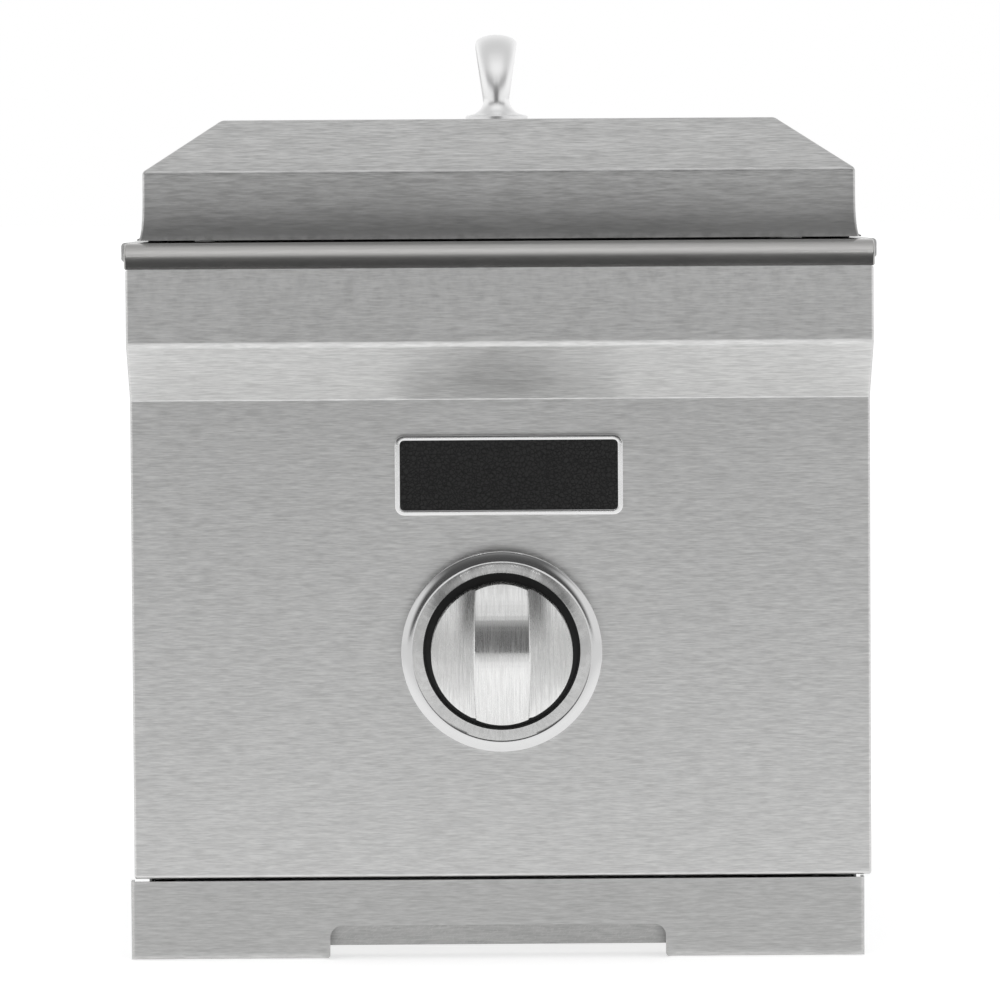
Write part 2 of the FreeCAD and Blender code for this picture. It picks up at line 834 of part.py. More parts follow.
def make_deck():
    """Top frame: side lips folded down and in to hang on the counter, open for the bowl."""
    body = new_body("deck_frame")
    section = new_sketch(body, "section", "XZ_Plane", "-deck_back")
    half = "(deck_width / 2)"
    low = "(deck_z - deck_lip)"
    outline(section, [
        (f"-{half}", "deck_z"),
        (half, "deck_z"),
        (half, low),
        (f"{half} - deck_ledge", low),
        (f"{half} - deck_ledge", f"{low} + panel_sheet"),
        (f"{half} - panel_sheet", f"{low} + panel_sheet"),
        (f"{half} - panel_sheet", "deck_under"),
        (f"-{half} + panel_sheet", "deck_under"),
        (f"-{half} + panel_sheet", f"{low} + panel_sheet"),
        (f"-{half} + deck_ledge", f"{low} + panel_sheet"),
        (f"-{half} + deck_ledge", low),
        (f"-{half}", low),
    ])
    long_form = pad(body, section, "deck_back - deck_front")
    edge_x = value("deck_width / 2")
    round_edges(
        body, long_form, "bend_radius",
        lambda box: near(abs(box.XMin), edge_x) and near(box.XLength, 0) and box.YLength > 10,
    )
    mouth = new_sketch(body, "mouth", "XY_Plane", "deck_z")
    centred_rectangle(mouth, "bowl_width + 2 * seam_gap", "bowl_length + 2 * seam_gap", "0", "middle_y")
    cut = pocket(body, mouth, "2 * panel_sheet")
    half_mouth = value("bowl_width / 2 + seam_gap")
    round_edges(
        body, cut, "bowl_corner",
        lambda box: near(box.XLength, 0) and near(box.YLength, 0) and near(abs(box.XMin), half_mouth),
    )
    rear = new_sketch(body, "rear_lip", "XZ_Plane", "-deck_back")
    side = "(deck_width / 2 - bend_radius)"
    rectangle(rear, f"-{side}", "deck_z - deck_rear_lip", side, "deck_under")
    pad(body, rear, "panel_sheet")
    tongue = new_sketch(body, "tongue", "YZ_Plane")
    outline(tongue, [
        ("deck_front", "deck_under"),
        ("deck_front - deck_tongue", "deck_under"),
        ("deck_front - deck_tongue", "deck_under - panel_sheet"),
        ("deck_front + deck_tongue", "deck_under - panel_sheet"),
        ("deck_front + deck_tongue", "deck_under"),
    ])
    pad(body, tongue, "box_width - 2 * (box_flange + tongue_gap)", midplane=True)


def make_side_wall(name, side):
    """Side of the box: a sheet with inward flanges and a forward tab behind the fascia."""
    body = new_body(name)
    inward = "-" if side == "+" else "+"
    outer = f"(0 {side} box_width / 2)"
    section = new_sketch(body, "section", "XZ_Plane", "-wall_back")
    outline(section, [
        (outer, "0"),
        (f"{outer} {inward} box_flange", "0"),
        (f"{outer} {inward} box_flange", "box_sheet"),
        (f"{outer} {inward} box_sheet", "box_sheet"),
        (f"{outer} {inward} box_sheet", "deck_under - box_sheet"),
        (f"{outer} {inward} box_flange", "deck_under - box_sheet"),
        (f"{outer} {inward} box_flange", "deck_under"),
        (outer, "deck_under"),
    ])
    pad(body, section, "wall_back - deck_front")
    front = new_sketch(body, "front_tab", "XY_Plane", "panel_bottom + wall_tab_rise")
    outline(front, [
        (f"{outer} {inward} box_sheet", "deck_front"),
        (f"{outer} {inward} box_sheet", "bonnet_front"),
        (f"{outer} {side} wall_tab_flange", "bonnet_front"),
        (f"{outer} {side} wall_tab_flange", "bonnet_front + box_sheet"),
        (outer, "bonnet_front + box_sheet"),
        (outer, "deck_front"),
    ])
    pad(body, front, "wall_tab_height")
    rear = new_sketch(body, "rear_flange", "XZ_Plane", "-wall_back")
    rectangle(rear, f"{outer} {inward} box_flange", "panel_bottom + rear_flange_rise",
              f"{outer} {inward} box_sheet", "deck_under - box_sheet")
    pad(body, rear, "box_sheet")
    holes = new_sketch(body, "screw_holes", "XZ_Plane", "-wall_back")
    for row in (0, 1):
        circle(holes, f"0 {side} rear_screw_x", f"rear_screw_z + {row} * rear_screw_pitch_z",
               "rear_screw_radius + screw_gap")
    pocket(body, holes, "box_flange", reverse=True)


def make_rear_panel():
    """Back of the box with rows of vents, screw holes and a hole for the gas inlet."""
    body = new_body("rear_panel")
    sheet = new_sketch(body, "sheet", "XZ_Plane", "-box_back")
    rectangle(sheet, "-box_width / 2", "rear_panel_lift", "box_width / 2", "deck_under - box_sheet")
    pad(body, sheet, "box_sheet")
    vent = new_sketch(body, "vent", "XZ_Plane", "-box_back")
    left = "-(vent_columns - 1) * vent_pitch_x / 2"
    low = "knob_z + vent_rise"
    end = "vent_height / 2 + 0.01"
    outline(vent, [
        (f"{left} - vent_width / 2", low),
        (f"{left} + vent_width / 2", low, end, -1),
        (f"{left} + vent_width / 2", f"{low} + vent_height"),
        (f"{left} - vent_width / 2", f"{low} + vent_height", end, -1),
    ])
    slot = pocket(body, vent)
    rows = body.newObject("PartDesign::MultiTransform", "rear_panel_vents")
    across = body.newObject("PartDesign::LinearPattern", "rear_panel_across")
    across.Direction = (vent, ["H_Axis"])
    bind(across, "Length", "(vent_columns - 1) * vent_pitch_x")
    bind(across, "Occurrences", "vent_columns")
    up = body.newObject("PartDesign::LinearPattern", "rear_panel_up")
    up.Direction = (vent, ["V_Axis"])
    bind(up, "Length", "(vent_rows - 1) * vent_pitch_z")
    bind(up, "Occurrences", "vent_rows")
    rows.Originals = [slot]
    rows.Transformations = [across, up]
    body.Tip = rows
    doc.recompute()
    holes = new_sketch(body, "holes", "XZ_Plane", "-box_back")
    circle(holes, "supply_x", "knob_z", "inlet_thread_radius + seam_gap")
    for side in ("-", "+"):
        for row in (0, 1):
            circle(holes, f"0 {side} rear_screw_x", f"rear_screw_z + {row} * rear_screw_pitch_z",
                   "rear_screw_radius + screw_gap")
    pocket(body, holes)


def make_rear_screws():
    """Screws that hold the rear panel to the flanges of the side walls."""
    spots = [
        (f"0 {side} rear_screw_x", "box_back", f"rear_screw_z + {row} * rear_screw_pitch_z")
        for side in ("-", "+") for row in (0, 1)
    ]
    fastener_group("rear_panel_screws", screw_shape("rear_screw", "rear_screw_length"), spots, (0, 1, 0))


def make_runner(name, side):
    """Channel on the side wall that the rim of the drip tray slides in."""
    body = new_body(name)
    inward = "-" if side == "+" else "+"
    wall = f"(0 {side} wall_inner)"
    section = new_sketch(body, "section", "XZ_Plane", "-(wall_back - runner_rear_gap)")
    outline(section, [
        (wall, "runner_ledge_z"),
        (f"{wall} {inward} runner_ledge", "runner_ledge_z"),
        (f"{wall} {inward} runner_ledge", "runner_ledge_z + box_sheet"),
        (f"{wall} {inward} box_sheet", "runner_ledge_z + box_sheet"),
        (f"{wall} {inward} box_sheet", "runner_top_z - box_sheet"),
        (f"{wall} {inward} runner_ledge", "runner_top_z - box_sheet"),
        (f"{wall} {inward} runner_ledge", "runner_top_z"),
        (wall, "runner_top_z"),
    ])
    pad(body, section, "runner_length")


def make_heat_shield():
    """Plate between the burner and the valve, hung from a flange on the fascia's back."""
    body = new_body("heat_shield")
    section = new_sketch(body, "section", "YZ_Plane")
    outline(section, [
        ("bonnet_front", "shield_z"),
        ("bonnet_front + shield_run", "shield_z"),
        ("bonnet_front + shield_run", "shield_z + box_sheet"),
        ("bonnet_front + box_sheet", "shield_z + box_sheet"),
        ("bonnet_front + box_sheet", "shield_z + shield_flange"),
        ("bonnet_front", "shield_z + shield_flange"),
    ])
    pad(body, section, "shield_width", midplane=True)
    hole = new_sketch(body, "tube_hole", "XY_Plane", "shield_z")
    circle(hole, "0", "passage_y", "shield_hole")
    pocket(body, hole)


# Lid


def make_lid_shell():
    """Lift-off lid: a low box with a hipped top, small out-turned feet and an inner hem."""
    body = new_body("lid_shell", y="middle_y", z="lid_z")
    wall = new_sketch(body, "wall", "XY_Plane")
    centred_rectangle(wall, "lid_width", "lid_length")
    pad(body, wall, "lid_wall")
    low = new_sketch(body, "shoulder", "XY_Plane", "lid_wall")
    centred_rectangle(low, "lid_width", "lid_length")
    high = new_sketch(body, "crown", "XY_Plane", "lid_wall + lid_slope_rise")
    centred_rectangle(high, "lid_width - 2 * lid_slope_run", "lid_length - 2 * lid_slope_run")
    hip = body.newObject("PartDesign::AdditiveLoft", "lid_shell_hip")
    hip.Profile = low
    hip.Sections = [high]
    hip.Ruled = True
    doc.recompute()
    sheet = shell(body, hip, "box_sheet", lambda box: near(box.ZMax, 0))
    half_x, half_y = value("lid_width / 2"), value("lid_length / 2")
    run, top = value("lid_slope_run"), value("lid_wall + lid_slope_rise")

    def on_outside(box):
        """Whether an edge lies on the outer folds of the walls, hips or crown."""
        reach_x, reach_y = max(abs(box.XMin), abs(box.XMax)), max(abs(box.YMin), abs(box.YMax))
        at_wall = near(reach_x, half_x) and near(reach_y, half_y) and box.ZMax > 1
        at_crown = near(box.ZMin, top) and (near(reach_x, half_x - run) or near(reach_y, half_y - run))
        return at_wall or at_crown

    round_edges(body, sheet, "lid_corner", on_outside)
    hem = new_sketch(body, "hem", "XY_Plane")
    centred_rectangle(hem, "lid_width - 2 * (box_sheet - weld_lap)", "lid_length - 2 * (box_sheet - weld_lap)")
    centred_rectangle(hem, "lid_width - 2 * lid_hem", "lid_length - 2 * lid_hem")
    pad(body, hem, "box_sheet")
    for side in ("-", "+"):
        foot = new_sketch(body, "foot_left" if side == "-" else "foot_right", "XZ_Plane")
        edge = f"(0 {side} lid_width / 2)"
        inward = "+" if side == "-" else "-"
        outline(foot, [
            (f"{edge} {inward} weld_lap", "0"),
            (f"{edge} {side} lid_foot", "0"),
            (f"{edge} {side} lid_foot", "lid_foot_thick", "lid_foot_radius", 1 if side == "-" else -1),
            (edge, "lid_foot_thick + lid_foot"),
            (f"{edge} {inward} weld_lap", "lid_foot_thick + lid_foot"),
        ])
        pad(body, foot, "lid_length - 4 * lid_corner", midplane=True)
    holes = new_sketch(body, "handle_holes", "XY_Plane")
    for side in ("-", "+"):
        circle(holes, "0", f"0 {side} handle_span / 2", "handle_screw_radius + screw_gap")
    pocket(body, holes)


def handle_stations():
    """Places along the bow: length formula, height formula, share of the grip, section's turn."""
    low = "handle_foot_rise"
    rise = "(handle_height - handle_grip_thick / 2 - handle_foot_rise)"
    steepness = value(rise) / value("handle_shoulder_run")
    stations = []
    for turn in (0.0, 22.5, 45.0, 67.5, 88.0):
        swept = math.radians(turn)
        tilt = math.degrees(math.atan2(steepness * math.cos(swept), math.sin(swept)))
        section_turn = 90 - tilt
        length = f"(handle_span / 2 - handle_shoulder_run * {1 - math.cos(swept):.4f})"
        height = f"{low} + {rise} * {math.sin(swept):.4f}"
        stations.append((length, height, math.sin(swept), section_turn))
    front = [(f"-{length}", height, share, 180 - turn) for length, height, share, turn in reversed(stations)]
    return stations + [("0", f"{low} + {rise}", 1, 90)] + front


def make_handle_foot(name, side):
    """Round foot with a rim, a concave flare up to the neck and a blind screw hole."""
    foot = doc.addObject("PartDesign::Body", name)
    bind(foot, "Placement.Base.y", f"middle_y {side} handle_span / 2")
    bind(foot, "Placement.Base.z", "lid_top_z")
    hole = "handle_screw_radius + screw_gap"
    spigot = "handle_neck_width / 2 - handle_spigot_step"
    profile = new_sketch(foot, "profile", "XZ_Plane")
    outline(profile, [
        (hole, "0"),
        ("handle_foot_radius", "0"),
        ("handle_foot_radius", "handle_foot_rim"),
        ("handle_foot_radius - handle_rim_step", "handle_foot_rim + handle_rim_slope",
         "handle_flare_radius", 1),
        (spigot, "handle_foot_rise"),
        (spigot, "handle_foot_rise + handle_spigot"),
        ("0", "handle_foot_rise + handle_spigot"),
        ("0", "handle_foot_rise"),
        (hole, "handle_foot_rise"),
    ])
    revolve(foot, profile)
    return foot


def make_handle():
    """Bow handle that runs front to back: two flared round feet and a lofted grip."""
    sections = []
    for index, (along, height, share, turn) in enumerate(handle_stations()):
        oval = doc.addObject("Part::Ellipse", f"handle_section_{index}")
        wide = f"handle_neck_width + {share} * (handle_grip_width - handle_neck_width)"
        thick = f"handle_neck_width + {share} * (handle_grip_thick - handle_neck_width)"
        bind(oval, "MajorRadius", f"({wide}) / 2 + handle_oval_excess")
        bind(oval, "MinorRadius", f"({thick}) / 2")
        oval.Placement = FreeCAD.Placement(vec(), FreeCAD.Rotation(vec(1, 0, 0), turn))
        bind(oval, "Placement.Base.y", f"middle_y + {along}")
        bind(oval, "Placement.Base.z", f"lid_top_z + {height}")
        sections.append(oval)
    bow = doc.addObject("Part::Loft", "handle_bow")
    bow.Sections = sections
    bow.Solid = True
    feet = [make_handle_foot("handle_front_foot", "-"), make_handle_foot("handle_rear_foot", "+")]
    handle = doc.addObject("Part::MultiFuse", "lid_handle")
    handle.Shapes = [bow] + feet
    handle.Label = "lid_handle"
    doc.recompute()
    nodes.append(handle)


def make_lid_hardware():
    """Screws and washers of the handle under the lid, and the pads that the lid rests on."""
    under = "lid_top_z - box_sheet - handle_washer_thick"
    spots = [("0", f"middle_y {side} handle_span / 2", under) for side in ("-", "+")]
    screw = screw_shape("handle_screw", "handle_foot_rise - push_spare + box_sheet")
    fastener_group("lid_handle_screws", screw, spots, (0, 0, -1))
    washer = washer_shape("handle_washer_radius", "handle_screw_radius", "handle_washer_thick")
    fastener_group("lid_handle_washers", washer, spots, (0, 0, 1))
    cushion = Part.makeCylinder(value("bumper_radius"), value("bumper_height"))
    reach_x = "((lid_width - lid_hem) / 2 - box_sheet)"
    reach_y = "(lid_length / 2 - bumper_inset)"
    corners = [
        (f"0 {side} {reach_x}", f"middle_y {end} {reach_y}", "deck_z")
        for side in ("-", "+") for end in ("-", "+")
    ]
    fastener_group("lid_bumpers", cushion, corners, (0, 0, 1))


# Drip tray


def make_tray_front():
    """Folded strip below the fascia with a finger notch and two welded studs at its back."""
    body = new_body("tray_front", "tray_x", "face_y", "tray_ground_gap")
    plate = new_sketch(body, "plate", "YZ_Plane")
    rectangle(plate, "0", "0", "tray_front_return", "tray_front_height")
    block = pad(body, plate, "tray_front_width", midplane=True)
    edge_x = value("tray_front_width / 2")
    folds = round_edges(
        body, block, "bend_radius",
        lambda box: near(box.YMax, 0) and near(abs(box.XMin), edge_x) and near(box.XLength, 0),
    )
    back = value("tray_front_return")
    shell(body, folds, "panel_sheet",
          lambda box: (near(box.YMin, back) and near(box.YLength, 0)) or (near(box.ZMax, 0)))
    notch = new_sketch(body, "notch", "XZ_Plane")
    half = "notch_width / 2"
    outline(notch, [
        (f"-{half} - notch_mouth_corner", "0", "notch_mouth_corner", 1),
        (f"-{half}", "notch_mouth_corner"),
        (f"-{half}", "notch_height - notch_corner", "notch_corner", 1),
        (f"-{half} + notch_corner", "notch_height"),
        (f"{half} - notch_corner", "notch_height", "notch_corner", 1),
        (half, "notch_height - notch_corner"),
        (half, "notch_mouth_corner", "notch_mouth_corner", 1),
        (f"{half} + notch_mouth_corner", "0"),
        (f"{half} + notch_mouth_corner", "-tray_ground_gap"),
        (f"-{half} - notch_mouth_corner", "-tray_ground_gap"),
    ])
    pocket(body, notch)
    studs = new_sketch(body, "studs", "XZ_Plane", "-panel_sheet")
    for side in ("-", "+"):
        circle(studs, f"0 {side} tray_stud_pitch / 2", "tray_stud_z - tray_ground_gap", "tray_stud_radius")
    pad(body, studs, "tray_stud_length", reverse=True)


def make_tray_pan():
    """Shallow pan with out-turned rims that ride in the runners and a front tab."""
    body = new_body("tray_pan", "tray_x")
    low = "pan_floor_z"
    floor = new_sketch(body, "floor", "XY_Plane", low)
    centre = "pan_front + pan_length / 2"
    centred_rectangle(floor, "pan_width", "pan_length", "0", centre)
    block = pad(body, floor, "pan_rim_z - pan_floor_z")
    corners = round_edges(
        body, block, "pan_corner", lambda box: near(box.XLength, 0) and near(box.YLength, 0))
    top = value("pan_rim_z")
    shell(body, corners, "pan_sheet", lambda box: near(box.ZMin, top) and near(box.ZLength, 0))
    rim = new_sketch(body, "rim", "XY_Plane", "pan_rim_z")
    outline(rim, [
        ("-pan_width / 2 - pan_rim", "face_y + panel_sheet + pan_sheet"),
        ("pan_width / 2 + pan_rim", "face_y + panel_sheet + pan_sheet"),
        ("pan_width / 2 + pan_rim", "pan_front + pan_length + pan_rim"),
        ("-pan_width / 2 - pan_rim", "pan_front + pan_length + pan_rim"),
    ])
    inner = "2 * (pan_sheet + pan_rim_lap)"
    centred_rectangle(rim, f"pan_width - {inner}", f"pan_length - {inner}", "0", centre)
    pad(body, rim, "pan_sheet", reverse=True)
    tab = new_sketch(body, "front_tab", "XZ_Plane", "-(face_y + panel_sheet + pan_sheet)")
    rectangle(tab, "-pan_width / 2 - pan_rim", "pan_rim_z - pan_tab", "pan_width / 2 + pan_rim", "pan_rim_z")
    for side in ("-", "+"):
        circle(tab, f"0 {side} tray_stud_pitch / 2", "tray_stud_z", "tray_stud_radius + screw_gap")
    pad(body, tab, "pan_sheet")


def make_tray_nuts():
    """Nuts on the strip's studs, behind the pan's front tab."""
    nut = hexagon_prism("tray_nut_flats", "tray_nut_height")
    nut = nut.cut(Part.makeCylinder(value("tray_stud_radius + running_gap"), value("tray_nut_height")))
    spots = [
        (f"tray_x {side} tray_stud_pitch / 2", "face_y + panel_sheet + pan_sheet", "tray_stud_z")
        for side in ("-", "+")
    ]
    fastener_group("tray_nuts", nut, spots, (0, 1, 0))


# Bowl, grate and burner


def make_bowl():
    """Two-step pan: a shallow recess that carries the grate and a deep well for spills."""
    body = new_body("burner_bowl", y="middle_y", z="deck_z")
    rim = new_sketch(body, "rim", "XY_Plane", "box_sheet")
    centred_rectangle(rim, "bowl_width + 2 * bowl_rim", "bowl_length + 2 * bowl_rim")
    first = pad(body, rim, "box_sheet", reverse=True)
    round_edges(
        body, first, "bowl_corner + bowl_rim / 2", lambda box: near(box.XLength, 0) and near(box.YLength, 0))
    steps = (
        ("recess", "bowl_width", "bowl_length", "bowl_step + box_sheet", "bowl_corner"),
        ("well", "bowl_width - 2 * bowl_ledge", "bowl_length - 2 * bowl_ledge", "bowl_depth", "bowl_corner"),
    )
    for name, width, length, depth, corner in steps:
        sketch = new_sketch(body, name, "XY_Plane")
        rounded_rectangle(sketch, width, length, corner)
        pad(body, sketch, depth, reverse=True)
    for name, width, length, depth, corner in steps:
        sketch = new_sketch(body, name + "_inside", "XY_Plane", "box_sheet")
        rounded_rectangle(
            sketch, f"{width} - 2 * box_sheet", f"{length} - 2 * box_sheet", f"{corner} - box_sheet")
        pocket(body, sketch, depth)
    holes = new_sketch(body, "floor_holes", "XY_Plane")
    circle(holes, "0", "0", "burner_hole")
    for side in ("-", "+"):
        circle(holes, "drain_offset", f"0 {side} drain_pitch / 2", "drain_radius")
        circle(holes, f"0 {side} burner_screw_pitch / 2", "0", "burner_screw_radius + screw_gap")
    circle(holes, "-electrode_offset", "0", "electrode_radius + seam_gap")
    circle(holes, "-electrode_offset - clip_screw_offset", "0", "clip_screw_radius + screw_gap")
    pocket(body, holes)


def rounded_rectangle(sketch, width, length, corner):
    """A rectangle about the sketch's origin with round corners."""
    x = f"({width}) / 2"
    y = f"({length}) / 2"
    r = f"({corner})"
    outline(sketch, [
        (f"-{x} + {r}", f"-{y}"),
        (f"{x} - {r}", f"-{y}", r, -1),
        (x, f"-{y} + {r}"),
        (x, f"{y} - {r}", r, -1),
        (f"{x} - {r}", y),
        (f"-{x} + {r}", y, r, -1),
        (f"-{x}", f"{y} - {r}"),
        (f"-{x}", f"-{y} + {r}", r, -1),
    ])


def make_grate():
    """Cast grate: a round-cornered frame, a ring, and fingers that stop short of the middle."""
    body = new_body("cooking_grate", y="middle_y", z="ledge_z")
    frame = new_sketch(body, "frame", "XY_Plane")
    rounded_rectangle(frame, "grate_width", "grate_length", "bowl_corner - box_sheet - grate_gap")
    rounded_rectangle(
        frame, "grate_width - 2 * grate_frame", "grate_length - 2 * grate_frame", "grate_inner_corner")
    pad(body, frame, "grate_height")
    ring = new_sketch(body, "ring", "XY_Plane", "grate_height")
    circle(ring, "0", "0", "grate_ring_radius + grate_finger / 2")
    circle(ring, "0", "0", "grate_ring_radius - grate_finger / 2")
    pad(body, ring, "grate_finger_height", reverse=True)
    half = "grate_finger / 2"
    side = "(grate_width / 2 - grate_lap)"
    end = "(grate_length / 2 - grate_lap)"
    on_ring = "sqrt(grate_ring_radius^2 - (grate_bar_pitch / 2)^2)"
    bars = [
        ("cross_left", f"-{side}", f"-{half}", "-grate_eye_radius", half),
        ("cross_right", "grate_eye_radius", f"-{half}", side, half),
        ("long_front", f"-{half}", f"-{end}", half, "-grate_eye_radius"),
        ("long_rear", f"-{half}", "grate_eye_radius", half, end),
    ]
    for name, sign in (("first", "-"), ("second", "+")):
        bar = f"(0 {sign} grate_bar_pitch / 2)"
        rail = f"(0 {sign} grate_rail_pitch / 2)"
        cross = f"(0 {sign} grate_cross_pitch / 2)"
        bars += [
            (f"front_bar_{name}", f"{bar} - {half}", f"-{end}", f"{bar} + {half}", f"-{on_ring}"),
            (f"rear_bar_{name}", f"{bar} - {half}", on_ring, f"{bar} + {half}", end),
            (f"rail_{name}", f"{rail} - {half}", f"-{end}", f"{rail} + {half}", end),
            (f"cross_{name}", f"-{side}", f"{cross} - {half}", side, f"{cross} + {half}"),
        ]
    for name, left, low, right, high in bars:
        finger = new_sketch(body, name, "XY_Plane", "grate_height")
        rectangle(finger, left, low, right, high)
        pad(body, finger, "grate_finger_height", reverse=True)


def make_burner_base():
    """Cast cup under the bowl with a flange inside it and a socket for the mixing tube."""
    body = new_body("burner_base", y="middle_y", z="bowl_floor_z")
    cup = new_sketch(body, "cup", "XZ_Plane")
    outline(cup, [
        ("0", "-burner_cup_depth"),
        ("burner_cup_radius", "-burner_cup_depth"),
        ("burner_cup_radius", "box_sheet"),
        ("burner_flange_radius", "box_sheet"),
        ("burner_flange_radius", "box_sheet + burner_flange"),
        ("burner_cup_radius - burner_wall", "box_sheet + burner_flange"),
        ("burner_cup_radius - burner_wall", "-burner_cup_depth + burner_wall"),
        ("0", "-burner_cup_depth + burner_wall"),
    ])
    revolve(body, cup)
    socket = new_sketch(body, "socket", "XZ_Plane")
    circle(socket, "0", "mixing_z - bowl_floor_z", "mixing_tube_radius + burner_socket_wall")
    pad(body, socket, "burner_cup_radius + burner_socket_run")
    inside = new_sketch(body, "cup_inside", "XY_Plane", "box_sheet + burner_flange")
    circle(inside, "0", "0", "burner_cup_radius - burner_wall")
    pocket(body, inside, "burner_cup_depth + box_sheet + burner_flange - burner_wall")
    bore = new_sketch(body, "socket_bore", "XZ_Plane")
    circle(bore, "0", "mixing_z - bowl_floor_z", "mixing_tube_radius")
    pocket(body, bore, "burner_cup_radius + 2 * burner_socket_run", reverse=True)
    holes = new_sketch(body, "screw_holes", "XY_Plane")
    for side in ("-", "+"):
        circle(holes, f"0 {side} burner_screw_pitch / 2", "0", "burner_screw_radius + screw_gap")
    pocket(body, holes)


def make_burner_head():
    """Brass crown with a ring of radial flame ports cut into its upper edge."""
    body = new_body("burner_head", y="middle_y", z="head_z")
    crown = new_sketch(body, "crown", "XZ_Plane")
    throat = "head_seat_radius - head_seat_wall"
    shoulder = "head_height - head_port_depth - head_shoulder"
    outline(crown, [
        (throat, "0"),
        ("head_seat_radius", "0"),
        ("head_radius", shoulder),
        ("head_radius", "head_height"),
        ("head_radius - head_rim", "head_height"),
        ("head_radius - head_rim", shoulder),
        (throat, "head_floor"),
    ])
    revolve(body, crown)
    port = new_sketch(body, "port", "XY_Plane", "head_height")
    rectangle(port, "head_radius - head_port_run", "-head_port_width / 2",
              "head_radius + head_port_width", "head_port_width / 2")
    cut = pocket(body, port, "head_port_depth")
    repeat_round(body, cut, port, "head_port_count")


def make_burner_cap():
    """Loose cast cap with a rounded edge, a dished top and a skirt that centres it in the crown."""
    skirt = "(head_radius - head_rim - cap_skirt_gap)"
    turned_part("burner_cap", [
        ("0", "0"),
        (f"{skirt} - cap_skirt_wall", "0"),
        (f"{skirt} - cap_skirt_wall", "-cap_skirt"),
        (skirt, "-cap_skirt"),
        (skirt, "0"),
        ("cap_radius", "0"),
        ("cap_radius", "cap_thick - cap_edge", "cap_edge + 0.1", -1),
        ("cap_radius - cap_edge", "cap_thick"),
        ("cap_radius - cap_dish_rim", "cap_thick"),
        ("cap_radius - cap_dish_rim - cap_dish_slope", "cap_thick - cap_dish"),
        ("0", "cap_thick - cap_dish"),
    ], y="middle_y", z="cap_z", plane="XZ_Plane")


def make_burner_screws():
    """Screws through the burner's flange into the bowl's floor."""
    spots = [(f"0 {side} burner_screw_pitch / 2", "middle_y", "head_z") for side in ("-", "+")]
    fastener_group("burner_screws", screw_shape("burner_screw", "burner_screw_length"), spots, (0, 0, 1))


def window_ring(body, sketch):
    """Cut the ring of air windows that a plate shows towards the front."""
    circle(sketch, "shutter_window_pitch", "0", "shutter_window")
    cut = pocket(body, sketch, "2 * mixing_tube_wall")
    repeat_round(body, cut, sketch, "shutter_windows")


def make_mixing_tube():
    """Steel tube into the burner with a flared mouth closed by a plate with air windows."""
    body = new_body("mixing_tube", y="middle_y", z="mixing_z")
    tube = new_sketch(body, "tube", "XY_Plane")
    far = "-(mixing_tube_run + mixing_bell_run)"
    neck = "-mixing_tube_run + mixing_neck_run"
    thin = "mixing_tube_wall"
    outline(tube, [
        ("spud_way_radius", far),
        ("mixing_bell_radius", far),
        ("mixing_bell_radius", f"{far} + mixing_bell_rim"),
        ("mixing_tube_radius - mixing_fit", neck),
        ("mixing_tube_radius - mixing_fit", "-burner_cup_radius"),
        (f"mixing_tube_radius - {thin}", "-burner_cup_radius"),
        (f"mixing_tube_radius - {thin}", neck),
        (f"mixing_bell_radius - {thin}", f"{far} + mixing_bell_rim"),
        (f"mixing_bell_radius - {thin}", f"{far} + {thin}"),
        ("spud_way_radius", f"{far} + {thin}"),
    ])
    revolve(body, tube)
    window_ring(body, new_sketch(body, "windows", "XZ_Plane", "mixing_tube_run + mixing_bell_run"))


def make_air_shutter():
    """Cup that turns on the tube's mouth and covers the windows by degrees, and its screw."""
    body = new_body("air_shutter", y="middle_y", z="mixing_z")
    cup = new_sketch(body, "cup", "XY_Plane")
    front = "-(mixing_tube_run + mixing_bell_run + shutter_thick + running_gap)"
    inner = "(mixing_bell_radius + running_gap)"
    outline(cup, [
        ("spud_way_radius", front),
        (f"{inner} + shutter_thick", front),
        (f"{inner} + shutter_thick", f"{front} + shutter_rim"),
        (inner, f"{front} + shutter_rim"),
        (inner, f"{front} + shutter_thick"),
        ("spud_way_radius", f"{front} + shutter_thick"),
    ])
    revolve(body, cup)
    window_ring(body, new_sketch(body, "windows", "XZ_Plane", f"-({front})"))
    tab = new_sketch(body, "tab", "XZ_Plane", f"-({front})")
    rectangle(
        tab, f"{inner} + shutter_thick / 2", "-shutter_tab / 2", f"{inner} + shutter_tab", "shutter_tab / 2")
    pad(body, tab, "shutter_thick", reverse=True)
    along = f"{front} + (shutter_rim + shutter_thick) / 2"
    hole = new_sketch(body, "screw_hole", "XY_Plane", f"-{inner} - 2 * shutter_thick")
    circle(hole, "0", along, "shutter_screw_radius + screw_gap")
    pocket(body, hole, "4 * shutter_thick", reverse=True)
    screw = screw_shape("shutter_screw", "shutter_thick")
    spot = ("0", f"middle_y + {along}", f"mixing_z - {inner} - shutter_thick")
    fastener_group("air_shutter_screw", screw, [spot], (0, 0, -1))


# Gas train


def hex_outline(sketch, flats, x="0", y="0"):
    """A hexagon of a given width across flats."""
    radius = f"({flats}) / sqrt(3)"
    turns = [(1, 0), (0.5, 1), (-0.5, 1), (-1, 0), (-0.5, -1), (0.5, -1)]
    outline(sketch, [
        (f"{x} + {along} * {radius}", f"{y} + {across} * ({flats}) / 2") for along, across in turns
    ])


